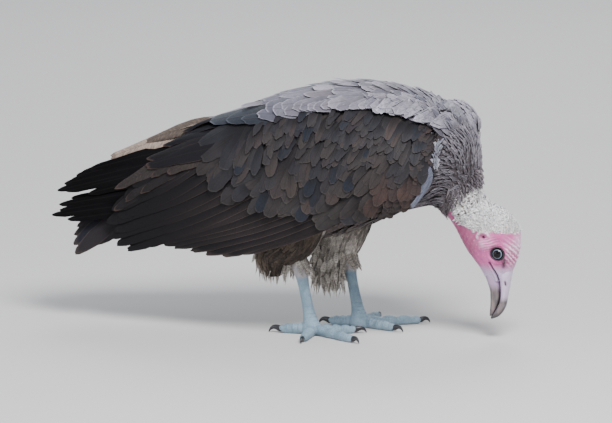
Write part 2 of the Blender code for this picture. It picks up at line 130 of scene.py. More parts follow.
def compass(degrees):
    """Unit directions in a plane at the given angles."""
    angle = np.radians(degrees)
    return stack(np.cos(angle), np.sin(angle))


def ripple(points, period, seed):
    """Smooth uneven field from -1 to 1: mean of five sine waves in set directions."""
    rng = np.random.default_rng(seed)
    total = 0
    for _ in range(5):
        way = unit(rng.normal(size=3))
        total = total + np.sin(points @ way * (2 * math.pi / period) * rng.uniform(0.7, 1.5)
                               + rng.uniform(0, 6.28))
    return total / 5


class Form:
    """A surface known on a grid of points, with its outward normals: rows run along the bird and
    columns run round it. Between grid points it is read bilinearly."""

    def __init__(self, points, closed, outward):
        self.points, self.closed = points, closed
        self.along = np.gradient(points, axis=0)
        if closed:
            self.around = (np.roll(points, -1, axis=1) - np.roll(points, 1, axis=1)) / 2
        else:
            self.around = np.gradient(points, axis=1)
        self.normals = unit(np.cross(self.along, self.around)) * outward

    def read(self, field, row, column):
        """A field's values at rows and columns, which wrap round a closed form."""
        rows, count = field.shape[:2]
        row = np.clip(row, 0, rows - 1.001)
        if not self.closed:
            column = np.clip(column, 0, count - 1.001)
        i, j = row.astype(int), np.floor(column).astype(int)
        s, t = (row - i)[..., None], (column - j)[..., None]
        j, k = j % count, (j + 1) % count
        return mix(mix(field[i, j], field[i, k], t), mix(field[i + 1, j], field[i + 1, k], t), s)

    def scatter(self, count, density, rng):
        """Random rows and columns, as many to a patch as its area times its density."""
        area = np.linalg.norm(np.cross(self.along, self.around), axis=-1)
        weight = (area * density)[:-1].ravel()
        pick = rng.choice(weight.size, size=count, p=weight / weight.sum())
        row, column = np.divmod(pick, self.points.shape[1])
        return row + rng.random(count), column + rng.random(count)


def thinned(points, spacing):
    """Keeps points at least a spacing apart, in their order, by dropping any that shares or
    neighbours a taken cell of a cubic lattice and lies too near its holder."""
    taken = {}
    kept = []
    cells = np.floor(points / spacing).astype(int)
    for n, (cell, point) in enumerate(zip(map(tuple, cells), points)):
        near = [taken[key] for dx in (-1, 0, 1) for dy in (-1, 0, 1) for dz in (-1, 0, 1)
                for key in ((cell[0] + dx, cell[1] + dy, cell[2] + dz),) if key in taken]
        if all(np.sum((point - other) ** 2) > spacing ** 2 for other in near):
            taken[cell] = point
            kept.append(n)
    return np.array(kept)


# ---------------- meshes

def plain_mesh(name, points, faces):
    """An object in the scene from points in the drawing's millimetres and an array of quads."""
    mesh = bpy.data.meshes.new(name)
    placed = ((points - SHIFT) * MM).astype(np.float32)
    corners = faces.astype(np.int32)
    mesh.vertices.add(len(placed))
    mesh.vertices.foreach_set("co", placed.ravel())
    mesh.loops.add(corners.size)
    mesh.loops.foreach_set("vertex_index", corners.ravel())
    mesh.polygons.add(len(corners))
    mesh.polygons.foreach_set("loop_start", np.arange(0, corners.size, corners.shape[1], dtype=np.int32))
    mesh.update(calc_edges=True)
    mesh.shade_smooth()
    piece = bpy.data.objects.new(name, mesh)
    bpy.context.scene.collection.objects.link(piece)
    return piece


def mesh_object(name, points, faces, slot, paints, nodes=(), crease=None, uvs=None, masks=None):
    """One piece on the base, with its finishes and the nodes that it stands for; the slot is not used.
    uvs and masks hold values for each point: 2 for a UV map, 1 for an attribute."""
    piece = plain_mesh(name, points, faces)
    mesh = piece.data
    for paint in paints:
        mesh.materials.append(paint)
    if crease:
        mesh.set_sharp_from_angle(angle=math.radians(crease))
    for title, values in (uvs or {}).items():
        layer = mesh.uv_layers.new(name=title)
        layer.uv.foreach_set("vector", values[faces.ravel()].astype(np.float32).ravel())
    for title, values in (masks or {}).items():
        made = mesh.attributes.new(title, "FLOAT", "POINT")
        made.data.foreach_set("value", values.astype(np.float32).ravel())
    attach(piece, "root")
    if nodes:
        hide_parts(*nodes)
    return piece


def quads(index):
    """Quads between neighbouring rows and columns of a grid of point numbers."""
    return stack(index[:-1, :-1], index[1:, :-1], index[1:, 1:], index[:-1, 1:]).reshape(-1, 4)


def tube_faces(rows, columns):
    """Quads between closed rings, and strips from side to side that shut the two end rings."""
    index = np.arange(rows * columns).reshape(rows, columns)
    half = np.arange(columns // 2 - 1)
    strip = stack(half, half + 1, columns - 2 - half, columns - 1 - half)
    return np.concatenate((quads(np.concatenate((index, index[:, :1]), axis=1)), strip,
                           (rows - 1) * columns + strip[:, ::-1]))


def outward(points, faces):
    """Quads of a closed form, their corners turned round where its signed volume is negative."""
    a, b, c, d = (points[faces[:, k]] - points.mean(axis=0) for k in range(4))
    return faces if np.sum(a * (np.cross(b, c) + np.cross(c, d))) > 0 else faces[:, ::-1]


def tube(rings):
    """Points and faces of a closed form through rings, its ends drawn in to a small button."""
    first, last = (mix(rings[i], rings[i].mean(axis=0), 0.98)[None] for i in (0, -1))
    rings = np.concatenate((first, rings, last))
    points = rings.reshape(-1, 3)
    return points, outward(points, tube_faces(*rings.shape[:2]))


def together(forms):
    """Points and faces of several forms as those of one."""
    starts = np.cumsum([0] + [len(points) for points, _ in forms[:-1]])
    return (np.concatenate([points for points, _ in forms]),
            np.concatenate([faces + start for (_, faces), start in zip(forms, starts)]))


def blade_faces(rows, columns):
    """Quads of one closed vane: a top grid and a bottom grid that share their whole rim."""
    top = np.arange(rows * columns).reshape(rows, columns)
    bottom = top.copy()
    bottom[1:-1, 1:-1] = top.size + np.arange((rows - 2) * (columns - 2)).reshape(rows - 2, columns - 2)
    return np.concatenate((quads(top), quads(bottom)[:, ::-1]))


class Vane:
    """Outline and section of one sort of feather, as shares of its length and half width.

    Along: s (1 - tip |c|^2.2), less the fray. Across: c times a girth that grows from the stem to
    full at the widest share. Lift: from -tuck at the root to the given lift at the tip, less
    camber c^2, with a curl s^4 near the tip."""

    stem, widest, tip, fray, jag, camber = 0.5, 0.5, 0.3, 0.3, 0.05, 0.12
    taper, thick, curl, sweep = 0.0, 0.5, 0.0, 0.0

    def __init__(self, rows, columns, **shape):
        self.rows, self.columns = rows, columns
        for title, value in shape.items():
            setattr(self, title, value)

    def grids(self, count, rng):
        """Shares along and across, and the two even grids that they come from."""
        s = np.linspace(0, 1, self.rows)[:, None] * np.ones((count, 1, self.columns))
        c = np.linspace(-1, 1, self.columns) * np.ones((count, self.rows, 1))
        torn = self.jag * rng.random((count, 1, self.columns)) * s ** 3
        along = s * (1 - self.tip * np.abs(c) ** 2.2 - torn)
        girth = self.stem + (1 - self.stem) * np.sin(np.clip(s / self.widest, 0, 1) * math.pi / 2)
        girth = girth * (1 - self.taper * ease(s, self.widest, 1))
        worn = 1 - self.fray * rng.random((count, self.rows, self.columns)) * np.abs(c) ** 6 * s
        return along, c * girth * worn + self.sweep * s * s, s, c


# Degrees over which an edge is sharp, and millimetres to one unit of the map "rule".
CREASE = 55
RULE = 10


def each(values):
    """One value for each feather, shaped to meet its grid."""
    return np.asarray(values, float).reshape(-1, 1, 1)


class Plumage:
    """Feathers gathered for one piece: points, faces, UV maps and masks."""

    def __init__(self):
        self.parts = []
        self.total = 0

    def add(self, vane, top, normal, s, c, along, across, tone, wear, cell):
        """One closed vane for each feather. top and normal are (n, rows, columns, 3), and cell
        holds the middle and size of each feather's patch of the map for baking."""
        thick = vane.thick * (1 - c[..., None] ** 2) * np.sqrt(np.clip(s * (1 - s), 0, 1))[..., None] * 2
        under = (top - normal * thick)[:, 1:-1, 1:-1]
        count = len(top)

        def joined(field):
            inner = field[:, 1:-1, 1:-1]
            return np.concatenate((field.reshape(count, -1, field.shape[-1]),
                                   inner.reshape(count, -1, field.shape[-1])), axis=1)
        points = np.concatenate((top.reshape(count, -1, 3), under.reshape(count, -1, 3)), axis=1)
        shares = joined(stack((c + 1) / 2, s))
        rule = joined(stack(across, along) / RULE)
        patch = cell[:, None, :2] + (shares - 0.5) * cell[:, None, 2:]
        size = points.shape[1]
        faces = blade_faces(vane.rows, vane.columns)
        corner = top[:, :-1, :-1]
        facing = np.cross(top[:, 1:, :-1] - corner, top[:, :-1, 1:] - corner)
        faces_up = np.sum(facing * normal[:, :-1, :-1], axis=(1, 2, 3))[:, None, None] > 0
        first = self.total + np.arange(count)[:, None, None] * size
        faces = np.where(faces_up, faces, faces[:, ::-1]) + first
        self.parts.append((points.reshape(-1, 3), faces.reshape(-1, 4), shares.reshape(-1, 2),
                           rule.reshape(-1, 2), patch.reshape(-1, 2),
                           *(np.repeat(np.broadcast_to(own, count), size) for own in (tone, wear))))
        self.total += count * size

    def finish(self, name, slot, paint, nodes=()):
        """Makes the piece, with a sharp edge wherever faces meet at more than CREASE degrees."""
        points, faces, shares, rule, patch, tone, wear = (np.concatenate(a) for a in zip(*self.parts))
        mesh_object(name, points, faces, slot, [paint], nodes, crease=CREASE,
                    uvs={"vane": shares, "rule": rule, "OFBake": patch}, masks={"tone": tone, "wear": wear})


def lay(plumage, form, vane, row, column, heading, length, width, rng, **how):
    """Feathers laid on a form. A vane's point goes along t and across b in the root's tangent
    plane, which the form's own steps turn into rows and columns, so the vane bends with it."""
    normal = unit(form.read(form.normals, row, column))
    forward = unit(heading - np.sum(heading * normal, axis=-1, keepdims=True) * normal)
    sideways = np.cross(normal, forward)
    step_row, step_column = form.read(form.along, row, column), form.read(form.around, row, column)
    g11 = np.sum(step_row ** 2, axis=-1)
    g12 = np.sum(step_row * step_column, axis=-1)
    g22 = np.sum(step_column ** 2, axis=-1)
    det = np.maximum(g11 * g22 - g12 ** 2, 1e-6)
    along, across, s, c = vane.grids(len(row), rng)
    a, b = along * each(length), across * each(width) / 2
    shift = a[..., None] * forward[:, None, None] + b[..., None] * sideways[:, None, None]
    p = np.sum(shift * step_row[:, None, None], axis=-1)
    q = np.sum(shift * step_column[:, None, None], axis=-1)
    rows = each(row) + (each(g22) * p - each(g12) * q) / each(det)
    columns = each(column) + (each(g11) * q - each(g12) * p) / each(det)
    settle(plumage, form, vane, rows, columns, row, column, length, width, (a, b, s, c), **how)


def settle(plumage, form, vane, rows, columns, row, column, length, width, grids,
           lift, tuck, base, tone, wear, tilt=0.0, patch=0.003):
    """Raises vanes off a form: base - tuck (1 - s)^1.5 + lift s, camber and tilt across, curl
    near the tip. Its place on the form is each feather's place on the map for baking."""
    count = len(row)
    a, b, s, c = grids
    ground, up = form.read(form.points, rows, columns), unit(form.read(form.normals, rows, columns))
    half = each(width) / 2
    rise = (each(base) - each(tuck) * (1 - s) ** 1.5 + each(lift) * s
            - vane.camber * c * c * half + each(tilt) * c * half
            + vane.curl * s ** 4 * each(length))
    form_rows, form_columns = form.points.shape[:2]
    cell = stack(column % form_columns / form_columns, row / form_rows,
                 np.full(count, patch), np.full(count, patch))
    plumage.add(vane, ground + up * rise[..., None], up, s, c, a, np.abs(b), tone, wear, cell)


# ---------------- materials

class Paint:
    """A Principled material and short calls for the nodes that feed it."""

    def __init__(self, name, roughness=0.6, **sockets):
        self.made = bpy.data.materials.new(name)
        self.made.use_nodes = True
        self.tree = self.made.node_tree
        self.shader = self.tree.nodes["Principled BSDF"]
        self.shader.inputs["Roughness"].default_value = roughness
        for title, value in sockets.items():
            self.shader.inputs[title.replace("_", " ")].default_value = value

    def node(self, kind, *inputs, values=None, **settings):
        """A node with its settings, its first inputs fed or set, and named values."""
        node = self.tree.nodes.new(kind)
        for key, value in settings.items():
            setattr(node, key, value)
        for socket, value in zip(node.inputs, inputs):
            self.feed(socket, value)
        for key, value in (values or {}).items():
            node.inputs[key].default_value = value
        return node

    def feed(self, socket, value):
        """Links a socket to the value, or sets it."""
        if isinstance(value, bpy.types.NodeSocket):
            self.tree.links.new(value, socket)
        else:
            socket.default_value = value

    def math(self, operation, *inputs, clamp=False):
        """One step of arithmetic."""
        return self.node("ShaderNodeMath", *inputs, operation=operation, use_clamp=clamp).outputs[0]

    def object_place(self):
        """The point's own coordinates, in metres."""
        return self.node("ShaderNodeTexCoord").outputs["Object"]

    def map_shares(self, title):
        """Both shares of a UV map."""
        uv = self.node("ShaderNodeUVMap", uv_map=title).outputs[0]
        return self.node("ShaderNodeSeparateXYZ", uv).outputs[:2]

    def mask(self, title):
        """A value that the piece's points carry."""
        return self.node("ShaderNodeAttribute", attribute_name=title).outputs["Fac"]

    def times(self, first, second):
        """The product of two values."""
        return self.math("MULTIPLY", first, second)

    def plus(self, first, second, clamp=True):
        """The sum of two values, kept from 0 to 1 unless told otherwise."""
        return self.math("ADD", first, second, clamp=clamp)

    def tinted(self, base, tints):
        """A colour that gives way to others, each where its mask is 1."""
        for title, tint in tints.items():
            base = self.blend(self.mask(title), base, tint)
        return base

    def noise(self, place, scale, detail=3.0, rough=0.55):
        """Cloudy field from 0 to 1."""
        values = {"Scale": scale, "Detail": detail, "Roughness": rough}
        return self.node("ShaderNodeTexNoise", place, values=values).outputs["Fac"]

    def cells(self, place, scale):
        """Distance to the nearest edge of a net of cells."""
        return self.node("ShaderNodeTexVoronoi", place, feature="DISTANCE_TO_EDGE",
                         values={"Scale": scale}).outputs["Distance"]

    def stretched(self, place, scale):
        """Coordinates scaled along each axis."""
        return self.node("ShaderNodeMapping", place, values={"Scale": scale}).outputs[0]

    def span(self, value, low, high, to_low=0.0, to_high=1.0):
        """Smooth step from to_low where the value is low to to_high where it is high."""
        return self.node("ShaderNodeMapRange", value, low, high, to_low, to_high,
                         interpolation_type="SMOOTHSTEP").outputs[0]

    def blend(self, share, first, second):
        """From the first colour to the second by the share."""
        node = self.node("ShaderNodeMix", share, data_type="RGBA", clamp_factor=True)
        for socket, value in zip([socket for socket in node.inputs if socket.type == "RGBA"], (first, second)):
            self.feed(socket, (*value, 1) if isinstance(value, tuple) else value)
        return node.outputs["Result"]

    def colour(self, value):
        """Feeds or sets the base colour."""
        self.feed(self.shader.inputs["Base Color"], value)

    def bump(self, height, strength, distance):
        """Tilts the light by a field of heights."""
        node = self.node("ShaderNodeBump", values={"Strength": strength, "Distance": distance})
        self.feed(node.inputs["Height"], height)
        self.feed(self.shader.inputs["Normal"], node.outputs[0])


def feather_finish(name, cool, warm, edge, worn, rim_from=0.8, rim_share=0.7, roughness=0.62,
                   sheen=0.1, root_shade=0.5, gloss=0.25, across_tone=0.0, rear_dark=0.0):
    """Vane colour: cool to warm by each feather's tone and by streaks along its barbs, then the
    paler edge near its rim and the bleached colour by its wear. Barbs and shaft are bump."""
    paint = Paint(name, roughness, Sheen_Weight=sheen, Sheen_Roughness=0.45, Specular_IOR_Level=gloss)
    u, v = paint.map_shares("vane")
    across, along = paint.map_shares("rule")
    side = paint.math("ABSOLUTE", paint.math("MULTIPLY_ADD", u, 2.0, -1.0))
    slant = paint.math("MULTIPLY_ADD", across, -1.15, along)
    line = paint.node("ShaderNodeCombineXYZ", slant, paint.times(across, 0.25), 0.0).outputs[0]
    streak = paint.noise(line, 9.0, 3.0, 0.6)
    fine = paint.noise(paint.stretched(line, (1, 0.35, 1)), 42.0, 2.0)
    tone = paint.plus(paint.mask("tone"), paint.math("MULTIPLY_ADD", streak, 0.9, -0.45))
    if across_tone:
        tone = paint.plus(tone, paint.span(u, 0.5, 0.98, -across_tone, across_tone))
    base = paint.blend(tone, cool, warm)
    base = paint.blend(paint.times(paint.mask("wear"), paint.span(streak, 0.35, 0.7, 0.4)), base, worn)
    rim = paint.math("MAXIMUM", paint.math("POWER", side, 1.6), paint.math("POWER", v, 2.2))
    rim = paint.times(paint.span(rim, rim_from, 1.0), paint.span(fine, 0.25, 0.7, rim_share * 0.45, rim_share))
    base = paint.blend(rim, base, edge)
    shaft = paint.span(side, 0.02, 0.09, 1.0, 0.0)
    base = paint.blend(paint.times(shaft, 0.35), base, (0.02, 0.016, 0.014))
    # Painted shade: each vane darkens towards its root, where the feather over it would shade it. The other
    # darkening here is random patches and a darker rear.
    dark = paint.span(paint.noise(paint.object_place(), 28.0, 3.0), 0.3, 0.7, 0.0, 0.25)
    dark = paint.math("MAXIMUM", dark, paint.span(v, 0.95, 0.3, 0.0, root_shade))
    if rear_dark:
        x = paint.node("ShaderNodeSeparateXYZ", paint.object_place()).outputs[0]
        dark = paint.math("MAXIMUM", dark, paint.span(x, 0.01, -0.17, 0.0, rear_dark))
    paint.colour(paint.blend(dark, base, (0.006, 0.005, 0.006)))
    height = paint.plus(paint.times(fine, 0.6), paint.times(shaft, 0.8), False)
    paint.bump(paint.plus(height, paint.times(streak, 0.5), False), 0.45, 0.0006)
    return paint.made


# ---------------- forms of the bird

# Below the waist the half width shrinks by DRAWN_IN times the square of the depth / WAIST_UNIT mm.
DRAWN_IN = 0.12
WAIST_UNIT = 100


def read_tables(tables, x):
    """Values at x of tables that each hold one value for a place."""
    return (smooth_at(table, x)[..., 0] for table in tables)


def flank(x, z):
    """Half width of the folded bird at a place seen from the side: half sqrt(1 - above^2) over
    the waist, and half (1 - 0.12 below^2) under it."""
    half, top, waist = read_tables((FOLDED_HALF_WIDTH, BACK_LINE, WAIST_LINE), x)
    above = np.clip((z - waist) / (top - waist), 0, 0.97)
    below = np.clip((waist - z) / WAIST_UNIT, 0, 2)
    return half * np.sqrt(1 - above ** 2) * (1 - DRAWN_IN * below ** 2)


def edge_rings(stations, at, sides, fullness):
    """Rings between a back edge and a belly edge, each a superellipse of the given fullness."""
    rows = through(stations, at)
    angle = np.arange(sides) * 2 * math.pi / sides
    across = np.sign(np.cos(angle)) * np.abs(np.cos(angle)) ** (2 / fullness)
    up = np.sign(np.sin(angle)) * np.abs(np.sin(angle)) ** (2 / fullness)
    middle = (rows[:, None, 0:2] + rows[:, None, 2:4]) / 2
    half = (rows[:, None, 0:2] - rows[:, None, 2:4]) / 2
    side_view = middle + half * up[None, :, None]
    return stack(side_view[..., 0], rows[:, 4:5] * across, side_view[..., 1]), rows


BODY_AT = np.concatenate([k + np.arange(n) / n for k, n in enumerate(ROWS_PER_STRETCH)]
                         + [[len(ROWS_PER_STRETCH)]]) / len(ROWS_PER_STRETCH)
coat_rings, coat_rows = edge_rings(BODY, BODY_AT, BODY_COLUMNS, BODY_FULLNESS)
coat = Form(coat_rings, True, -1)
COAT_DEPTH = coat_rows[:, 5]
body = Form(coat.points - coat.normals * COAT_DEPTH[:, None, None], True, -1)


def seen_distance(points, line):
    """Distance in the side view from each point to a polyline of (x, z)."""
    flat = points[..., (0, 2)]
    nearest = np.full(flat.shape[:-1], 1e9)
    for a, b in zip(line[:-1], line[1:]):
        a, b = np.array(a, float), np.array(b, float)
        t = np.clip((flat - a) @ (b - a) / ((b - a) @ (b - a)), 0, 1)
        nearest = np.minimum(nearest, np.linalg.norm(flat - a - t[..., None] * (b - a), axis=-1))
    return nearest


def past_seam(x, z):
    """Distance above the seam between down and ruff, below nought on the head's side."""
    return (z - np.interp(x, *zip(*SEAM))) / 1.25


def downy(points):
    """Where the head and neck wear down: 1 above the slanting edge from throat to forehead."""
    x, z = points[..., 0], points[..., 2]
    limit = np.interp(x, *zip(*DOWN_EDGE))
    return (ease(z - limit + 2.0 * ripple(points, 9, 17), -0.5, 2.0) * ease(x, 196, 204)
            * ease(-past_seam(x, z), -7, 0))


APERTURE = 6.9
EAR = (252.0, 127.0)
MOUTH_LINE = ((258.8, 95.5), (261.4, 89.5), (264.4, 84), (266.6, 78.5), (267.6, 72))
DOWN_EDGE = ((200, 178), (211, 161), (216, 153), (219, 146.5), (222.5, 140.5), (230, 137.5), (242, 132),
             (265, 133), (280, 131.5), (296, 129.5))
# Where the ruff of the neck ends and the down begins.
SEAM = ((196, 148), (204, 153), (210.6, 161), (218, 172), (226, 180), (238, 185), (252, 187))


def face_relief(points, normals):
    """The skin's folds, and the masks that colour them.

    Orbit: inside the aperture the skin dives 2 mm behind the eyeball, and outside it rises from
    the lid, 0.7 mm over the ball, to the cheek. Ear: a Gaussian pit inside a C-shaped Gaussian
    fold. Forehead, cheek and throat: ridges along set directions within soft patches. The mouth
    line is a Gaussian groove with a raised lip."""
    x, y, z = points[..., 0], points[..., 1], points[..., 2]
    outer = ease(np.abs(y), 4, 9)
    face = ease(x, 196, 222) * ease(-z, -175, -150)
    away = np.hypot(x - EYE[0], z - EYE[2])
    lift = np.zeros_like(x)
    # Wrinkles that fan out over the forehead in front of the eye.
    wave = ripple(points, 16, 5)
    slope = (x - 272) * (0.42 + 0.014 * (114 - z)) + z * 0.88 - np.abs(y) * 0.42 + 1.5 * wave
    slope = slope + 0.8 * ripple(points, 6, 6)
    fan = hill((x - 286) / 10, (z - 108) / 14) * ease(x, 271, 278)
    broken = ease(ripple(points, 8, 8), -0.6, 0.2)
    ridge = ridges(slope, 4.3, 0.95)
    outside_eye = ease(away, 9, 11)
    forehead = np.clip(1.25 * fan, 0, 1) * ridge * outside_eye * (0.35 + 0.65 * broken)
    lift += 1.7 * forehead
    # Wrinkles between ear and eye, nearly level, and long soft folds down the throat.
    level = z * 0.96 - x * 0.28 + 1.5 * wave
    cheek = hill((x - 259) / 9, (z - 120) / 8) * ridges(level, 3.1, 1.3)
    lift += 0.55 * cheek * outside_eye
    throat_way = ripple(points, 26, 11)
    throat = ease(-(x - 0.42 * (z - 100)), -246, -232) * face
    folds = throat * (ridges(x - 0.4 * z + 5 * throat_way, 7.5, 1.2) * ease(throat_way, -0.8, 0.4))
    lift += 0.22 * folds
    lift += 0.28 * face * ripple(points, 6, 3) + 0.14 * face * ripple(points, 2.6, 9)
    # Ear opening with its raised fold, open towards the front and below.
    from_ear = np.hypot(x - EAR[0], (z - EAR[1]) * 1.2)
    round_ear = np.arctan2(z - EAR[1], x - EAR[0])
    arch = ease(np.cos(round_ear - 1.75), -0.45, 0.3)
    ear_fold = hill((from_ear - 7.2) / 1.5) * arch * outer
    lobe = hill((x - EAR[0] + 1.5) / 3.6, (z - EAR[1] + 8.5) / 5.0) * outer
    ear_pit = hill(from_ear / 2.1) * outer
    lift += lobe + 1.9 * ear_fold - 3.6 * ear_pit - 0.9 * hill(from_ear / 5) * outer
    # Brow over the eye and the soft bag below and behind it.
    brow = hill((away - 11.5) / 2.4) * ease(np.cos(np.arctan2(z - EYE[2], x - EYE[0]) - 1.2), 0, 0.8)
    bag = hill((away - 11.8) / 1.6) * ease(-(z - EYE[2]), -4, 8)
    lift += (1.1 * brow + 0.7 * bag) * outer
    # Mouth line from the gape down to the bill.
    from_mouth = seen_distance(points, MOUTH_LINE)
    gape = hill(from_mouth / 1.1) * ease(np.abs(y), 2, 5)
    lift += -2.2 * gape + 0.7 * hill((from_mouth - 2.6) / 1.2) * outer * ease(-z, -100, -90)
    made = points + normals * (lift * (0.25 + 0.75 * face))[..., None]
    # Orbit and lids, with the grid drawn onto the aperture's circle.
    near = away < 12
    gap = away - APERTURE
    drawn = APERTURE + gap * np.clip(np.abs(gap) / 1.1, 0, 1)
    scale = np.where(near, drawn / np.maximum(away, 0.1), 1)
    made[..., 0] = EYE[0] + (made[..., 0] - EYE[0]) * scale
    made[..., 2] = EYE[2] + (made[..., 2] - EYE[2]) * scale
    ball = EYE[1] + np.sqrt(np.clip(EYE_RADIUS ** 2 - drawn ** 2, 0, None))
    rim = EYE[1] + math.sqrt(EYE_RADIUS ** 2 - APERTURE ** 2) + 0.7
    lid = mix(rim + 0.5 * hill((drawn - APERTURE - 0.9) / 0.6), np.abs(made[..., 1]),
              ease(drawn, APERTURE + 1.2, APERTURE + 4.2))
    depth = np.where(gap < 0.0, np.minimum(ball - 2.0, np.abs(made[..., 1])), lid)
    inside = near & (np.abs(y) > 8)
    made[..., 1] = np.where(inside, np.sign(y) * depth, made[..., 1])
    crown_front = 0.5 * ease(x - 0.2 * (z - 110), 281, 291) * ease(z, 100, 122)
    pale = crown_front + 1.5 * forehead + 0.6 * cheek + 0.8 * ear_fold + 0.35 * lobe + 0.08 * folds
    oval = np.hypot(x - EYE[0], (z - EYE[2]) * 1.12)
    lid_mask = (1 - ease(oval, 8.9, 9.9)) * inside
    lores = hill((x - 275.8 - 0.15 * (z - 95)) / 2.4, ((z - 95.5) / 7.0) ** 2) * ease(ripple(points, 1.9, 51),
                                                                                      -1.1, -0.2)
    # Painted shade: the near black in the ear's pit and along the gape stands for the shade inside these
    # openings. The lids and the lores are dark in their own colour.
    dark = lid_mask + 0.95 * ear_pit + 0.9 * gape + 0.95 * lores * outer
    gaps = 0.8 * np.clip(1.3 * fan, 0, 1) * (1 - ridge) ** 2 * broken * outside_eye
    feathered = np.maximum(ease(past_seam(x, z), -4, -1), ease(-x, -193, -187))
    masks = {"pale": np.clip(pale, 0, 1), "dark": np.clip(dark, 0, 1), "throat": np.clip(throat + gaps, 0, 1),
             "beak_end": ease(-z, -97, -80) * face, "heel": np.zeros_like(x),
             "downy": np.maximum(downy(points), feathered),
             "curly": np.maximum(ease(z - 0.35 * (x - 240), 138, 160), feathered)}
    return made, masks


# ---------------- legs

LEG_VOXEL = 0.8
LEG_SMOOTHING = 5
ANKLE = {"right": (40, 32), "left": (81, 31)}
ANKLE_HEIGHT = 17
HEEL_LEAN = 14 / 67
# Height and radius up the foot pad and the shin to above the heel.
LEG_PROFILE = ((0, 10.6), (1.5, 11.9), (5, 12.4), (9, 11.2), (13, 9.4), (18, 7.7), (24, 6.7), (32, 6.2),
               (45, 5.9), (58, 6.0), (66, 6.7), (73, 7.9), (79, 8.2), (85, 7.3), (96, 6.2))
TOES = {"inner": (-22, 34, 5.8, 4.8), "middle": (34, 58, 6.2, 4.8),
        "outer": (86, 40, 6.0, 4.6), "hind": (176, 24, 6.4, 5.2)}
CLAWS = {"inner": 17, "middle": 15, "outer": 13, "hind": 18}
PAD_FORWARD = 3.5
TOE_START = 15.4
# The shin is deeper than wide by this, its scutes lie this far apart, and so do those on the toes.
SHIN_DEPTH = 1.12
SHIN_SCUTE = 4.2
TOE_SCUTE = 3.6


def tube_rings(path, radii, sides, flatten=(1, 1)):
    """Rings of the given radii round a path, square to it and never below the floor. flatten
    stretches them sideways and upwards."""
    path = np.asarray(path, float)
    along = unit(np.gradient(path, axis=0))
    guide = np.array((0, 0, 1.0)) if abs(along[0, 2]) < 0.7 else np.array((1.0, 0, 0))
    side = unit(np.cross(along, guide))
    up = np.cross(side, along)
    angle = (np.arange(sides) + 0.5) * 2 * math.pi / sides
    rings = (path[:, None] + np.asarray(radii)[:, None, None]
             * (np.cos(angle)[None, :, None] * side[:, None] * flatten[0]
                + np.sin(angle)[None, :, None] * up[:, None] * flatten[1]))
    rings[..., 2] = np.maximum(rings[..., 2], 0)
    return rings


def toe_way(side, name):
    """Where a toe starts, its direction, length, and radii at base and tip."""
    heading, length, base, tip = TOES[name]
    ankle_x, apart = ANKLE[side]
    turn = math.radians(heading)
    ahead = np.array((math.cos(turn), SIDES[side] * math.sin(turn)))
    return np.array((ankle_x + PAD_FORWARD, SIDES[side] * apart)), ahead, length, base, tip


def leg_tubes(side):
    """Closed rough forms of one leg: shin with its pad, and four toes that swell at each joint."""
    ankle_x, apart = ANKLE[side]
    keys = np.array(LEG_PROFILE, float)
    height = np.linspace(0, 96, 60)
    radius = smooth_at(keys, height)[:, 0]
    angle = np.arange(32) * 2 * math.pi / 32
    height, radius = height[:, None], radius[:, None]
    shin = stack(ankle_x - HEEL_LEAN * (height - ANKLE_HEIGHT) + SHIN_DEPTH * radius * np.cos(angle),
                 SIDES[side] * apart + radius * np.sin(angle), height + 0 * angle)
    tubes = [tube(shin)]
    for name in TOES:
        centre, ahead, length, base, tip = toe_way(side, name)
        share = np.linspace(-0.3, 1, 40)
        radii = (base + (tip - base) * share) * (1 + 0.08 * np.cos(share * 6 * math.pi))
        radii *= np.where(share > 0.9, np.sqrt(np.clip(1 - ((share - 0.9) / 0.125) ** 2, 0.05, 1)), 1)
        reach = TOE_START + length * share
        path = np.column_stack((centre + ahead * reach[:, None], radii * 0.86))
        tubes.append(tube(tube_rings(path, radii, 24)))
    return tubes


def fetched(items, title, width, kind):
    """One attribute of a mesh's vertices or corners as an array."""
    values = np.zeros(len(items) * width, kind)
    items.foreach_get(title, values)
    return values.reshape(-1, width)


def fused(name, tubes, voxel, smoothing):
    """One skin over several closed forms: a voxel shell, then a few rounds of smoothing."""
    rough = plain_mesh(name, *together(tubes))
    shell = rough.modifiers.new("shell", "REMESH")
    shell.mode = "VOXEL"
    shell.voxel_size = voxel * MM
    soft = rough.modifiers.new("soft", "SMOOTH")
    soft.factor = 0.5
    soft.iterations = smoothing
    made = rough.evaluated_get(bpy.context.evaluated_depsgraph_get()).to_mesh()
    points = fetched(made.vertices, "co", 3, np.float32) / MM + SHIFT
    normals = fetched(made.vertices, "normal", 3, np.float32).astype(float)
    faces = fetched(made.loops, "vertex_index", 1, np.int32).reshape(-1, 4)
    bpy.data.objects.remove(rough)
    return points, normals, faces


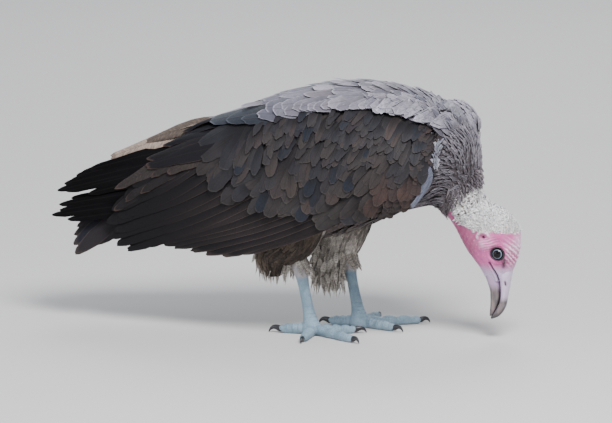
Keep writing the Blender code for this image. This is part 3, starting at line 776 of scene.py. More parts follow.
def leg_relief(side, points, normals):
    """Scutes: a saw tooth every 3.6 mm along the top of each toe and every 4.2 mm up the front of
    the shin, as far as z = 40, and knobs on the heel."""
    away = np.full(len(points), 1e9)
    reach_on = np.zeros(len(points))
    for name in TOES:
        centre, ahead, *_ = toe_way(side, name)
        flat = points[:, :2] - centre
        reach = flat @ ahead
        off = np.abs(flat @ np.array((-ahead[1], ahead[0]))) + np.where(reach < 9, 50, 0)
        reach_on = np.where(off < away, reach, reach_on)
        away = np.minimum(away, off)
    on_toe = (away < 8) & (points[:, 2] < 13)
    tooth = (reach_on / TOE_SCUTE + 0.15 * ripple(points, 9, 21)) % 1
    upper = ease(normals[:, 2], -0.2, 0.35)
    lift = on_toe * upper * (0.55 * tooth - 0.5 * hill((tooth - 0.02) / 0.1))
    ring = (points[:, 2] / SHIN_SCUTE + 0.2 * ripple(points, 12, 23)) % 1
    shin = ease(-points[:, 2], -40, -30) * ease(points[:, 2], 10, 15) * (1 - on_toe)
    front = ease(normals[:, 0], -0.3, 0.4)
    lift += shin * front * (0.45 * ring - 0.4 * hill((ring - 0.02) / 0.1))
    heel = ease(points[:, 2], 66, 72)
    lift += heel * 0.8 * ripple(points, 5, 31) + 0.1 * ripple(points, 2.2, 33)
    groove = on_toe * upper * hill((tooth - 0.02) / 0.12) + shin * front * hill((ring - 0.02) / 0.12)
    points = points + normals * lift[:, None]
    points[:, 2] = np.where(points[:, 2] < 0.35, 0, points[:, 2])
    return points, {"pale": 0.4 * heel, "dark": 0.5 * np.clip(groove, 0, 1), "heel": heel}


def build_skin(face_paint, leg_paint):
    """One skin over trunk, neck, head and legs."""
    made, masks = face_relief(body.points, body.normals)
    forms = [(made.reshape(-1, 3), tube_faces(*made.shape[:2])[:, ::-1])]
    masks = {title: [values.ravel()] for title, values in masks.items()}
    nodes = ["trunk", "neck", "head"]
    for side in SIDES:
        leg, normals, corners = fused(f"rough_leg_{side}", leg_tubes(side), LEG_VOXEL, LEG_SMOOTHING)
        leg, extra = leg_relief(side, leg, normals)
        forms.append((leg, corners))
        for title, values in masks.items():
            values.append(extra.get(title, np.zeros(len(leg))))
        nodes += [f"tarsus_{side}", f"foot_{side}"] + [f"toe_{side}_{toe}" for toe in TOES]
    points, faces = together(forms)
    skin = mesh_object("skin", points, faces, "face_skin", [face_paint, leg_paint], nodes,
                       masks={title: np.concatenate(values) for title, values in masks.items()})
    on_legs = np.arange(len(faces)) >= len(forms[0][1])
    skin.data.polygons.foreach_set("material_index", on_legs.astype(np.int32))


# ---------------- eyes, bill, claws

def build_eye(side, paint):
    """A ball whose cornea bulges: radius 8.4 (1 + 0.03 exp(-(polar / 0.5)^2)) about the side axis."""
    polar = np.linspace(0.02, math.pi - 0.02, 40)
    angle = np.arange(48) * 2 * math.pi / 48
    radius = EYE_RADIUS * (1 + 0.03 * hill(polar / 0.5))
    off, out = (radius * np.sin(polar))[:, None], (SIDES[side] * radius * np.cos(polar))[:, None]
    points, faces = tube(stack(off * np.cos(angle), out + 0 * angle, off * np.sin(angle))
                         + EYE * (1, SIDES[side], 1))
    mesh_object(f"eyeball_{side}", points, faces, "eye_dark", [paint], [f"eye_{side}"],
                masks={"off_axis": np.hypot(points[:, 0] - EYE[0], points[:, 2] - EYE[2])})


UPPER_BILL = ((282.5, 92, 266, 93, 8.5), (281.2, 80, 266.5, 79, 11.3), (279.2, 70, 267.6, 69, 10.2),
              (277.4, 60, 268.3, 59.5, 9.0), (275.8, 51, 267.9, 50.5, 8.2), (274.6, 42, 265.2, 41.8, 7.3),
              (270.6, 33.5, 261.2, 35, 5.6), (264.6, 27.4, 257.2, 29.6, 3.4), (256.2, 24.2, 255.0, 26.2, 0.8))
LOWER_BILL = ((266.0, 92, 249.5, 90, 8.0), (266.4, 80, 249.0, 78, 10.6), (267.3, 70, 251.6, 69, 8.9),
              (267.9, 60, 254.4, 60, 6.9), (267.5, 51, 255.0, 51, 5.6), (264.9, 42.2, 254.9, 41, 4.5),
              (261.2, 35.2, 254.2, 34.0, 3.2), (257.2, 28.6, 253.8, 27.2, 1.2))
NOSTRIL = (276.0, 69.5)


def build_bill(name, stations, rows, paint, nostrils):
    """Superellipse rings between the culmen and the tomial edge. The nostril is a Gaussian slit,
    and growth lines are low ripples round the horn."""
    at = np.linspace(0, 1, rows)
    rings, _ = edge_rings(np.array([(*s, 0) for s in stations]), at, 56, 2.25)
    form = Form(rings, True, -1)
    x, y, z = (rings[..., k] for k in range(3))
    slit = hill((x - NOSTRIL[0] + 0.12 * (z - NOSTRIL[1])) / 0.9, ((z - NOSTRIL[1]) / 3.0) ** 2)
    slit = slit * ease(np.abs(y), 3, 5) * nostrils
    horn = ease(-z, -54, -45) if nostrils else ease(-z, -70, -58)
    cere = hill((z - 60) / 9) * 0.5 * nostrils
    lift = -1.9 * slit + cere * ease(x, 268, 274) + 0.1 * horn * ripple(rings * (0.3, 0.3, 1), 3.5, 41)
    made = rings + form.normals * lift[..., None]
    points, faces = tube(made)
    keys = np.array(stations, float)
    middle = (keys[:, 0] + keys[:, 2]) / 2, -(keys[:, 1] + keys[:, 3]) / 2
    half = np.maximum((keys[:, 0] - keys[:, 2]) / 2, 0.6)

    def ringed(field):
        return np.concatenate((field[:1], field, field[-1:])).ravel()
    off_middle = np.abs(made[..., 0] - np.interp(-z, *reversed(middle))) / np.interp(-z, middle[1], half)
    # Painted shade: the dark mask paints the nostril's slit near black, for the shade inside its opening.
    mesh_object(f"{name}_horn", points, faces, "bill_horn", [paint], [name],
                masks={"horn": ringed(horn), "dark": ringed(np.clip(slit * 1.3, 0, 1)),
                       "edge": ringed(ease(off_middle, 0.45, 1.0)), "tip": ringed(ease(-z, -36, -26))})


def build_claws(paint):
    """Curved horn cones of length L: reach 0.82 L sin(1.25 s), height a low arch that falls to the
    floor by s^1.7, and radius r (1 - 0.86 s^1.15)."""
    forms, nodes = [], []
    for side in SIDES:
        for name, claw in CLAWS.items():
            centre, ahead, length, _, tip = toe_way(side, name)
            share = np.linspace(-0.22, 1, 22)
            reach = TOE_START + length + 1.2 + claw * 0.82 * np.sin(share * 1.25)
            ahead_share = np.clip(share, 0, 1)
            height = (tip * 0.95 + claw * 0.16 * np.sin(ahead_share * math.pi)
                      - (tip * 0.95 - 0.7) * ahead_share ** 1.7)
            radii = tip * 0.72 * (1 - 0.86 * ahead_share ** 1.15) * ease(share, -0.6, 0.1)
            path = np.column_stack((centre + ahead * reach[:, None], height))
            forms.append(tube(tube_rings(path, radii, 16, (0.8, 1.05))))
            nodes.append(f"claw_{side}_{name}")
    mesh_object("claws", *together(forms), "claw_black", [paint], nodes)


# ---------------- finishes of the skin

def face_finish():
    """Pink bare skin: paler on its ridges, deeper on the throat, lilac by the bill, black lids."""
    paint = Paint("face_skin_bare", 0.42, Specular_IOR_Level=0.45, Subsurface_Weight=0.12,
                  Subsurface_Radius=(0.003, 0.0012, 0.0009), Coat_Weight=0.12, Coat_Roughness=0.3)
    place = paint.object_place()
    broad = paint.noise(place, 60.0, 4.0)
    fine = paint.noise(place, 420.0, 3.0)
    base = paint.blend(paint.span(broad, 0.35, 0.68), (0.67, 0.135, 0.37), (0.47, 0.07, 0.23))
    base = paint.tinted(base, {"throat": (0.42, 0.08, 0.2), "beak_end": (0.6, 0.46, 0.66)})
    base = paint.blend(paint.times(paint.mask("pale"), paint.span(fine, 0.3, 0.6, 0.55, 1.0)),
                       base, (1.0, 0.8, 0.95))
    base = paint.blend(paint.span(fine, 0.56, 0.72, 0.0, 0.3), base, (0.84, 0.42, 0.6))
    under = paint.blend(paint.mask("curly"), (0.6, 0.54, 0.49), (0.13, 0.1, 0.085))
    # The dark mask gives the lids and lores their own black, and paints shade into the ear's opening and the
    # mouth's groove.
    paint.colour(paint.tinted(base, {"downy": under, "dark": (0.012, 0.01, 0.012)}))
    paint.bump(paint.plus(paint.cells(place, 900.0), paint.times(fine, 0.9), False), 0.45, 0.0005)
    return paint.made


def leg_finish():
    """Blue-grey scaled skin: a net of small scales, darker grooves, and a pinker heel."""
    paint = Paint("leg_scales_blue_grey", 0.5, Specular_IOR_Level=0.4)
    place = paint.object_place()
    broad = paint.noise(place, 70.0, 4.0)
    net = paint.cells(paint.stretched(place, (1, 1, 0.8)), 620.0)
    base = paint.blend(paint.span(broad, 0.35, 0.7), (0.29, 0.4, 0.49), (0.2, 0.29, 0.36))
    base = paint.blend(paint.mask("heel"), base, (0.44, 0.4, 0.4))
    base = paint.blend(paint.span(net, 0.0, 0.09, 0.45, 0.0), base, (0.12, 0.16, 0.19))
    paint.colour(paint.tinted(base, {"dark": (0.1, 0.13, 0.15)}))
    paint.bump(paint.span(net, 0.0, 0.16), 0.5, 0.0005)
    return paint.made


def horn_finish(name, pale, deep):
    """Cere from pale to deep over grey-brown horn with a dark hook and growth lines."""
    paint = Paint(name, 0.34, Specular_IOR_Level=0.5, Coat_Weight=0.15)
    place = paint.object_place()
    broad = paint.noise(place, 90.0, 4.0)
    lines = paint.noise(paint.stretched(place, (1, 1, 0.22)), 260.0, 3.0)
    cere = paint.blend(broad, pale, deep)
    horn = paint.blend(paint.span(lines, 0.3, 0.7), (0.25, 0.2, 0.185), (0.115, 0.095, 0.1))
    horn = paint.blend(paint.mask("edge"), horn, (0.035, 0.032, 0.038))
    edge = paint.plus(paint.mask("horn"), paint.math("MULTIPLY_ADD", broad, 0.5, -0.25))
    base = paint.blend(edge, cere, horn)
    paint.colour(paint.tinted(base, {"tip": (0.05, 0.045, 0.05), "dark": (0.02, 0.012, 0.014)}))
    paint.bump(lines, 0.25, 0.0004)
    return paint.made


def claw_finish():
    """Black horn with faint streaks."""
    paint = Paint("claw_black_horn", 0.3, Specular_IOR_Level=0.5)
    place = paint.object_place()
    streak = paint.noise(place, 300.0, 3.0)
    paint.colour(paint.blend(streak, (0.01, 0.01, 0.013), (0.035, 0.034, 0.038)))
    paint.bump(streak, 0.2, 0.0003)
    return paint.made


def eye_finish():
    """Rings about the axis of sight: black pupil, dark brown iris, and a blue-grey rim that is a painted
    reflection of the sky on the cornea.
    """
    paint = Paint("eye_wet_brown", 0.12, Coat_Weight=0.12, Coat_Roughness=0.03, Specular_IOR_Level=0.2)
    off = paint.mask("off_axis")
    speck = paint.noise(paint.object_place(), 900.0, 3.0)
    base = paint.blend(paint.span(off, 2.6, 3.0), (0.002, 0.002, 0.003), (0.008, 0.005, 0.004))
    # Painted reflection: this blue-grey ring stands for the sky mirrored at the cornea's edge.
    base = paint.blend(paint.span(off, 4.5, 4.9), base, (0.15, 0.19, 0.25))
    base = paint.blend(paint.span(off, 5.6, 6.1), base, (0.006, 0.006, 0.008))
    paint.colour(paint.blend(paint.times(speck, 0.3), base, (0.008, 0.008, 0.01)))
    return paint.made


# ---------------- wings and back

WING_X = np.linspace(-310, 222, 134)
WING_Z = np.linspace(74, 304, 58)
# Side-view directions of the wing's coverts: x, z, degrees.
COVERT_FLOW = ((110, 215, -110), (196, 236, -96), (192, 196, -118), (172, 170, -136), (140, 162, -146),
               (100, 165, -136), (60, 172, -122), (0, 180, -116), (-60, 196, -124), (-95, 215, -142),
               (60, 200, -103), (0, 215, -97), (-60, 226, -112), (-30, 246, -104), (50, 262, -102),
               (120, 262, -110), (185, 258, -102), (150, 195, -122))
SECONDARY_ENDS = (((106, 160), (-34, 101)), ((100, 162), (-60, 96)), ((90, 164), (-82, 95)),
                  ((80, 166), (-102, 98)), ((68, 168), (-124, 101)), ((54, 170), (-138, 103)),
                  ((36, 172), (-150, 106)), ((10, 172), (-172, 97)), ((-4, 175), (-186, 93)),
                  ((-18, 178), (-203, 96)), ((-30, 182), (-214, 104)), ((-42, 188), (-206, 116)),
                  ((-54, 197), (-213, 123)), ((-66, 207), (-199, 133)), ((-76, 216), (-206, 140)),
                  ((-80, 224), (-190, 156)), ((-86, 230), (-180, 172)))
SECONDARY_WIDTHS = (22, 22, 22, 22, 22, 22, 24, 22, 22, 22, 22, 24, 26, 27, 25, 28, 28)
# Offset forward of the greater coverts' tips, visible length, width, fixed direction or None.
COVERT_ROWS = ((0, 40, 26, -147), (10, 34, 22, -137), (21, 36, 22, None), (41, 32, 19, None),
               (60, 27, 16.5, None), (77, 23, 14.5, None),
               (92, 20, 13, None)) + tuple((105 + 11.5 * k, 18, 12, None) for k in range(11))
# Feathers that stand out from their rows: root x, z, tip x, z, width, tone, wear.
STANDOUTS = ((13, 195, -8, 155, 16, 0.0, 0.0), (29, 202, 4, 150, 23, 0.7, 0.1),
             (34, 227, 37, 175, 15, 1.0, 0.2), (65, 213, 56, 178, 14, 0.0, 0.0),
             (98, 205, 85, 171, 18, 0.8, 0.4), (117, 215, 106, 188, 14, 0.0, 0.0),
             (-31, 230, -71, 175, 22, 0.5, 0.0), (-24, 228, -36, 197, 12, 0.0, 0.0),
             (-11, 196, -40, 167, 17, 0.4, 0.0), (150, 190, 128, 160, 16, 0.6, 0.9),
             (62, 178, 44, 148, 16, 0.1, 0.0))


# The cape of mantle and scapulars: as the folded bird, but closing on the neck at the front.
CAPE_HALF_WIDTH = FOLDED_HALF_WIDTH[:-3] + ((150, 103), (180, 102), (200, 97), (212, 85), (222, 68), (235, 46))
CAPE_LINE = BACK_LINE[:-2] + ((206, 268), (221, 257), (235, 239))


CAPE_FRONT, CAPE_REAR = 204.0, -112
# Size of the cape's feathers by x, and how much longer they are than what shows.
CAPE_SIZES = (-110, -40, 40, 120, 204), (56, 50, 42, 28, 14)
CAPE_OVERLAP = 1.75
CAPE_X = np.linspace(-300, 235, 108)
CAPE_GIRTH = np.linspace(-(math.pi / 2 + 1.3), math.pi / 2 + 1.3, 180)


def cape_place(x, girth):
    """Closed form of mantle and scapulars. girth is the angle from the middle of the back, minus
    on the right: y = half cos, z = waist + rise sin above the waist, then down by 100 mm a unit."""
    half, top, waist = read_tables((CAPE_HALF_WIDTH, CAPE_LINE, WAIST_LINE), x)
    angle = math.pi / 2 - np.abs(girth)
    below = np.clip(-angle, 0, None)
    y = half * np.where(angle > 0, np.cos(angle), 1 - DRAWN_IN * below ** 2)
    z = waist + np.where(angle > 0, (top - waist) * np.sin(angle), -WAIST_UNIT * below)
    return stack(*np.broadcast_arrays(x, np.sign(girth) * y, z))


def cape_at(x, girth):
    """Rows and columns of the cape's form at places along it and round it."""
    return tuple(np.interp(at, steps, np.arange(len(steps))) for at,
                 steps in ((x, CAPE_X), (girth, CAPE_GIRTH)))


cape = Form(cape_place(CAPE_X[:, None], CAPE_GIRTH[None, :]), False, 1)


def wing_surface(side):
    """Outer face of a folded wing over its side view: y is the flank's half width, less
    16 (1 - d / 30)^2 where the leading edge is d < 30 mm away."""
    x, z = np.meshgrid(WING_X, WING_Z, indexing="ij")
    seen = stack(x, 0 * x, z)
    ahead = x > np.interp(z, EDGE_Z, EDGE_X)
    inside = seen_distance(seen, LEADING_EDGE) * np.where(ahead, -1, 1)
    y = flank(x, z) - 16 * np.clip(1 - inside / 30, 0, 1.5) ** 2
    return Form(stack(x, SIDES[side] * y, z), False, -SIDES[side])


wings = {side: wing_surface(side) for side in SIDES}


def step_index(steps, value):
    """Place of a value among even steps, counted from the first and also beyond them."""
    return (value - steps[0]) / (steps[1] - steps[0])


def wing_index(seen):
    return step_index(WING_X, seen[..., 0]), step_index(WING_Z, seen[..., 1])


def cape_index(sign):
    """Rows and columns of the cape's form at places seen from one side."""
    def index(seen):
        x, z = seen[..., 0], seen[..., 1]
        top, waist = read_tables((CAPE_LINE, WAIST_LINE), x)
        share = (z - waist) / (top - waist)
        girth = math.pi / 2 - np.where(share > 0, np.arcsin(np.clip(share, 0, 0.999)), (z - waist) / WAIST_UNIT)
        return step_index(CAPE_X, x), step_index(CAPE_GIRTH, sign * girth)
    return index


def lay_seen(plumage, form, index, vane, root, tip, width, rng, **how):
    """Feathers on a form between side-view roots and tips: a vane's point lies along and
    across the line from root to tip as seen from the side, and on the form in depth."""
    count = len(root)
    way = tip - root
    length = np.linalg.norm(way, axis=-1)
    square = stack(-way[:, 1], way[:, 0]) / length[:, None]
    along, across, s, c = vane.grids(count, rng)
    b = across * each(width) / 2
    seen = (root[:, None, None] + way[:, None, None] * along[..., None] + square[:, None, None] * b[..., None])
    rows, columns = index(seen)
    row, column = index(root)
    settle(plumage, form, vane, rows, columns, row, column, length, width,
           (along * each(length), b, s, c), **how)


def lay_on_wing(plumage, side, *feathers, **how):
    """Feathers on one wing, set out as it is seen from its side."""
    lay_seen(plumage, wings[side], wing_index, *feathers, **how)


def lay_on_cape(plumage, sign, *feathers, **how):
    """Feathers on one half of the cape, set out as it is seen from its side."""
    lay_seen(plumage, cape, cape_index(sign), *feathers, **how)


def flow_at(seen):
    """Side-view unit directions at places, weighted by 1 / distance^3 over the table."""
    table = np.array(COVERT_FLOW, float)
    away = np.linalg.norm(seen[:, None] - table[None, :, :2], axis=-1) + 4
    return unit(1 / away ** 3 @ compass(table[:, 2]))


def line_points(line, spacing, rng, phase=0.5):
    """Places at even steps along a polyline, a little out of step, with their shares of it."""
    line = np.asarray(line, float)
    steps = np.concatenate(([0], np.cumsum(np.linalg.norm(np.diff(line, axis=0), axis=1))))
    count = max(int(steps[-1] / spacing), 1)
    at = (np.arange(count) + phase + rng.uniform(-0.12, 0.12, count)) * steps[-1] / count
    return np.stack([np.interp(at, steps, line[:, k]) for k in (0, 1)], axis=-1), at / steps[-1]


def under_scapulars(seen):
    """How far places lie below the scapulars' edge in the side view."""
    return smooth_at(SCAPULAR_EDGE, seen[:, 0])[:, 0] - seen[:, 1]


def turned(way, spread):
    """Side-view directions turned by small angles."""
    return unit(way + stack(-way[..., 1], way[..., 0]) * spread[:, None])


# The greater coverts, the row over them, and all smaller ones.
COVERT_VANES = (Vane(10, 7, tip=0.22, fray=0.14, camber=0.24, taper=0.22, thick=0.6),
                Vane(10, 7, widest=0.6, tip=0.22, fray=0.14, camber=0.24, taper=0.05, thick=0.6),
                Vane(7, 5, stem=0.45, widest=0.55, tip=0.26, fray=0.25, jag=0.1, camber=0.24, taper=0.1,
                     thick=0.4))


def build_coverts(side, rng, finish):
    """Lesser, median and greater coverts: rows stepped forward from the greater coverts' tips."""
    plumage = Plumage()
    line = np.array(((196, 160), (170, 152), (146, 147), (120, 147)) + GREATER_COVERT_TIPS, float)
    step = compass(55)
    for k, (offset, shown, width, fixed) in enumerate(COVERT_ROWS):
        spacing, phase = width * (0.62 if k else 0.75), 0.5 if k % 2 else 0.2
        tips, _ = line_points(line + step * offset, spacing, rng, phase)
        tips = tips + rng.normal(size=tips.shape) * 0.16 * shown
        reach = np.interp(tips[:, 1], EDGE_Z, EDGE_X) - tips[:, 0]
        keep = (reach > 1.0) & (tips[:, 0] > -118) & (rng.random(len(tips)) > 0.04)
        if fixed:
            way = compass(fixed)
            keep &= tips[:, 0] < 120
        else:
            way = flow_at(tips - flow_at(tips) * shown * 0.8)
        way = turned(way, rng.normal(0, 0.13, len(tips)))
        small = 0.7 + 0.3 * ease(reach, 4, 40)
        length = shown * (1.8 if k else 1.55) * small * rng.uniform(0.8, 1.2, len(tips))
        roots = tips - way * length[:, None]
        ridge = smooth_at(BACK_LINE, roots[:, 0])[:, 0]
        keep &= (under_scapulars(tips) > -6) & (roots[:, 1] < ridge - 7)
        tips, roots, reach, small = tips[keep], roots[keep], reach[keep], small[keep]
        count = len(tips)
        if not count:
            continue
        vane = COVERT_VANES[0 if k < 2 else 1 if k < 4 else 2]
        high = ease(-under_scapulars(tips), -46, -16)
        blue = rng.random(count) < 0.06 + 0.3 * high
        tone = np.where(blue, rng.uniform(0, 0.2, count), rng.uniform(0.35, 1.0, count) - 0.3 * high)
        rufous = ease(tips[:, 0], 100, 150) * ease(-tips[:, 1], -205, -175)
        lay_on_wing(plumage, side, vane, roots, tips, width * (0.8 + 0.2 * small)
                    * rng.uniform(0.8, 1.2, count), rng, lift=rng.uniform(0.9, 3.2, count)
                    * (0.5 + 0.5 * small), tuck=2.6 if k < 4 else 1.8, base=0.2 + 0.1 * min(k, 4),
                    tilt=rng.normal(0.03, 0.07, count), tone=np.clip(tone, 0, 1),
                    wear=np.clip(rng.normal(0.0, 0.2, count) + 0.9 * rufous, 0, 1))
    table = np.array(STANDOUTS, float)
    lay_on_wing(plumage, side, Vane(12, 7, widest=0.6, tip=0.2, fray=0.08, jag=0.03, camber=0.26, thick=0.7),
                table[:, 0:2], table[:, 2:4], table[:, 4], rng, lift=2.6, tuck=4.2, base=2.2, tone=table[:, 5],
                wear=table[:, 6])
    # Small feathers that wrap the bend of the wing.
    tips, _ = line_points(LEADING_EDGE, 1.7, rng)
    tangent = unit(np.gradient(tips, axis=0))
    tips = tips + stack(-tangent[:, 1], tangent[:, 0]) * rng.uniform(-1.5, 18, len(tips))[:, None]
    way = turned(flow_at(tips), rng.normal(0, 0.1, len(tips)))
    length = rng.uniform(11, 17, len(tips))
    lay_on_wing(plumage, side, Vane(5, 4, jag=0.1, camber=0.16, thick=0.4), tips - way * length[:, None], tips,
                rng.uniform(6, 10, len(tips)), rng, lift=1.2, tuck=2.0, base=0.5,
                tone=rng.uniform(0.3, 0.9, len(tips)), wear=rng.uniform(0.1, 0.6, len(tips)))
    plumage.finish(f"wing_coverts_{side}", "plumage_dark", finish, [f"wing_{side}_coverts"])


def build_secondaries(side, rng, finish):
    """Shingled fan of secondaries, each with its lower edge lying over the next one down."""
    plumage = Plumage()
    ends = np.array(SECONDARY_ENDS, float)
    count = len(ends)
    tips = ends[:, 1] + rng.normal(0, 0.8, (count, 2))
    lay_on_wing(plumage, side, Vane(24, 9, stem=0.55, tip=0.12, fray=0.04, jag=0.02, taper=0.3, thick=0.9),
                ends[:, 0], tips, SECONDARY_WIDTHS, rng, lift=0.9, tuck=0, base=-3.6 + 0.16 * np.arange(count),
                tilt=0.15, tone=rng.uniform(0.1, 0.8, count), wear=rng.uniform(0.0, 0.4, count), patch=0.02)
    plumage.finish(f"wing_secondaries_{side}", "flight_black", finish, [f"wing_{side}_secondaries"])


def lay_between(plumage, vane, roots, tips, normal, width, rng, arch, lift=0.0, tilt=0.0, tone=None, wear=None):
    """Feathers from roots to tips in space: bowed along the normal by 4 arch s (1 - s)."""
    count = len(roots)
    way = tips - roots
    length = np.linalg.norm(way, axis=-1)
    forward = way / length[:, None]
    normal = unit(normal - np.sum(normal * forward, axis=-1, keepdims=True) * forward)
    sideways = np.cross(normal, forward)
    along, across, s, c = vane.grids(count, rng)
    half = each(width) / 2
    b = across * half
    rise = (4 * each(arch) * s * (1 - s) + each(lift) * s
            - vane.camber * c * c * half + each(tilt) * c * half)
    top = (roots[:, None, None] + way[:, None, None] * along[..., None]
           + b[..., None] * sideways[:, None, None] + rise[..., None] * normal[:, None, None])
    up = np.broadcast_to(normal[:, None, None], top.shape)
    tone = rng.random(count) if tone is None else tone
    wear = rng.random(count) if wear is None else wear
    cell = stack(np.linspace(0.05, 0.95, count), np.full(count, 0.5), np.full(count, 0.85 / count),
                     np.full(count, 0.9))
    plumage.add(vane, top, up, s, c, along * each(length), np.abs(b), tone, wear, cell)


PRIMARIES = (((-118, 150), (-266, 123)), ((-120, 156), (-287, 127)), ((-126, 188), (-243, 154)),
             ((-122, 163), (-278, 133)), ((-124, 170), (-280, 139)), ((-130, 193), (-272, 155)),
             ((-131, 196), (-284, 155)), ((-133, 202), (-276, 163)), ((-136, 208), (-262, 173)),
             ((-138, 212), (-246, 181)))


def build_primaries(side, rng, finish):
    """Narrow black fingers stacked from the lowest and outermost to the highest."""
    plumage = Plumage()
    ends = np.array(PRIMARIES, float)
    count = len(ends)
    order = np.arange(count)

    def placed(seen, inward):
        y = 31 + 8 * np.clip((seen[:, 0] + 290) / 150, 0, 1) - 0.32 * (seen[:, 1] - 124)
        return stack(seen[:, 0], SIDES[side] * (y - inward), seen[:, 1])
    normal = 0.05, SIDES[side], 0.35
    lay_between(plumage, Vane(20, 6, stem=0.7, widest=0.3, tip=0.1, fray=0.03, jag=0.01, camber=0.08,
                              taper=0.45, thick=1.0), placed(ends[:, 0], 0.7 * order),
                placed(ends[:, 1], 0.7 * order), normal, 17.0, rng, arch=2.0, tilt=SIDES[side] * -0.12,
                lift=rng.uniform(-1, 1, count), tone=rng.uniform(0, 0.5, count),
                wear=rng.uniform(0, 0.3, count))
    plumage.finish(f"wing_primaries_{side}", "flight_black", finish, [f"wing_{side}_primaries"])


# Long rear feathers that lie over the secondaries: root x, z, tip x, z, width, wear.
REAR_FEATHERS = ((-127, 197, -204, 138, 17, 0.1), (-120, 208, -188, 152, 16, 0.2),
                 (-112, 219, -202, 165, 17, 0.55), (-100, 214, -166, 164, 17, 0.1),
                 (-92, 226, -152, 184, 16, 0.35), (-70, 226, -131, 190, 19, 0.6))


def build_tertials(side, rng, finish):
    """Long feathers over the rump that reach back from under the scapulars, and those beside
    them on the wing."""
    plumage = Plumage()
    count = 6
    share = np.linspace(0, 1, count)[:, None]
    flip = np.array((1, SIDES[side], 1))
    roots = mix(np.array((-52, 62, 231.0)), np.array((-52, 8, 259.0)), share)
    if side == "left":
        tips = mix(np.array((-218, 42, 180.0)), np.array((-228, 8, 195.0)), share)
        tips = tips + np.array(((12, 0, 0), (-2, 0, 0), (6, 0, 0), (-2, 0, 1), (4, 0, 1), (0, 0, 0)), float)
        wear = np.array((0, 0.2, 0.7, 1.0, 0.35, 1.0))
    else:
        tips = mix(np.array((-168, 48, 195.0)), np.array((-130, 10, 231.0)), share)
        tips = tips + np.array(((4, 0, 0), (-5, 0, 0), (4, 0, 0), (-5, 0, 0), (3, 0, 0), (0, 0, 0)), float)
        wear = np.zeros(count)
    normal = stack(0 * share[:, 0], SIDES[side] * (0.75 - 0.6 * share[:, 0]), 0.5 + 0.5 * share[:, 0])
    lay_between(plumage, Vane(18, 9, stem=0.6, widest=0.4, tip=0.14, fray=0.1, camber=0.14, taper=0.4,
                              thick=0.9), roots * flip, tips * flip, normal, 27.0, rng,
                arch=3.5 + 2.5 * share[:, 0], lift=1.0, tilt=SIDES[side] * -0.12,
                tone=rng.uniform(0.0, 0.5, count), wear=wear)
    if side == "left":
        # The longest two hang over the fold, on the inner side.
        ends = np.array((((-70, 7, 247), (-227, 2, 194)), ((-76, 5, 248), (-180, 1, 216))), float)
        lay_between(plumage, Vane(18, 7, stem=0.6, widest=0.4, tip=0.14, fray=0.1, camber=0.14, taper=0.35,
                                  thick=0.9), ends[:, 0], ends[:, 1], (0, -0.8, 0.6), np.array((24.0, 20.0)),
                    rng, arch=7.0, lift=np.array((0.0, 1.0)), tone=np.array((0.5, 0.9)),
                    wear=np.array((1.0, 0.3)))
    table = np.array(REAR_FEATHERS, float)
    lay_on_wing(plumage, side, Vane(18, 7, stem=0.55, widest=0.4, tip=0.14, fray=0.08, jag=0.04, camber=0.18,
                                    taper=0.45, thick=0.8), table[:, 0:2], table[:, 2:4], table[:, 4] + 2, rng,
                lift=np.linspace(1.0, 2.2, len(table)), tuck=3.0, base=np.linspace(0.2, 1.6, len(table)),
                tilt=0.1, tone=rng.uniform(0.2, 0.8, len(table)), wear=0.12 * table[:, 5])
    plumage.finish(f"wing_tertials_{side}", "flight_black", finish, [f"wing_{side}_tertials"])


def build_tail(rng, finish):
    """Fan of twelve feathers that droops at its sides by 49 |spread|^1.25 mm at the tips."""
    plumage = Plumage()
    count = 12
    spread = np.linspace(-1, 1, count) * 0.94

    def at(share, push):
        x = -146 - 120 * share * (1 - 0.14 * np.abs(spread) ** 3) + push
        z = 188 - 61 * share - (11 + 38 * share) * np.abs(spread) ** 1.25 + 1.5 * (1 - np.abs(spread))
        return stack(x, spread * (15 + 23 * share), z)
    roots, tips = at(0.0, 0), at(1.0, rng.uniform(-1.5, 6, count) - 9 * ease(-spread, 0.5, 0.9))
    normal = stack(0.35 + 0 * spread, 0.85 * spread, 0.8 + 0 * spread)
    lay_between(plumage, Vane(18, 8, stem=0.6, widest=0.4, tip=0.2, fray=0.05, jag=0.02, camber=0.04,
                              thick=0.9), roots, tips, normal, 21.0, rng, arch=1.5, tilt=0.1 * np.sign(spread),
                tone=rng.uniform(0, 0.7, count), wear=rng.uniform(0.1, 0.5, count))
    plumage.finish("tail_feathers", "flight_black", finish, ["tail"])


def cape_edge(x, gap, highest):
    """Angle round the cape at which its lower edge lies, a gap above the scapulars' edge."""
    edge = smooth_at(SCAPULAR_EDGE, np.clip(x, CAPE_REAR, 206))[..., 0] + gap
    top, waist = read_tables((CAPE_LINE, WAIST_LINE), x)
    return math.pi / 2 - np.arcsin(np.clip((edge - waist) / (top - waist), 0.2, highest))


def lens(name, place, rows, columns, depth, slot, paint):
    """A closed shell under feathers: place(u, v), and a face that lies the given depth further in
    and comes to within 0.8 mm of it at the rim."""
    u, v = np.meshgrid(np.linspace(0, 1, rows), np.linspace(0, 1, columns), indexing="ij")
    outer, inward = place(u, v)
    thick = depth * np.clip(4 * np.minimum.reduce((u, 1 - u, v, 1 - v)), 0, 1) + 0.8
    inner = (outer + inward * thick[..., None])[1:-1, 1:-1]
    shell = mesh_object(name, np.concatenate((outer.reshape(-1, 3), inner.reshape(-1, 3))),
                        blade_faces(rows, columns), slot, [paint])
    i, j = rows // 2, columns // 2
    facing = np.cross(outer[i + 1, j] - outer[i, j], outer[i, j + 1] - outer[i, j])
    if np.dot(facing, outer[i, j] - inner[i - 1, j - 1]) < 0:
        shell.data.flip_normals()


def sunk(form, row, column, depth):
    """Places the given depth under a form, and the way further in."""
    normal = unit(form.read(form.normals, row, column))
    return form.read(form.points, row, column) - normal * depth, -normal


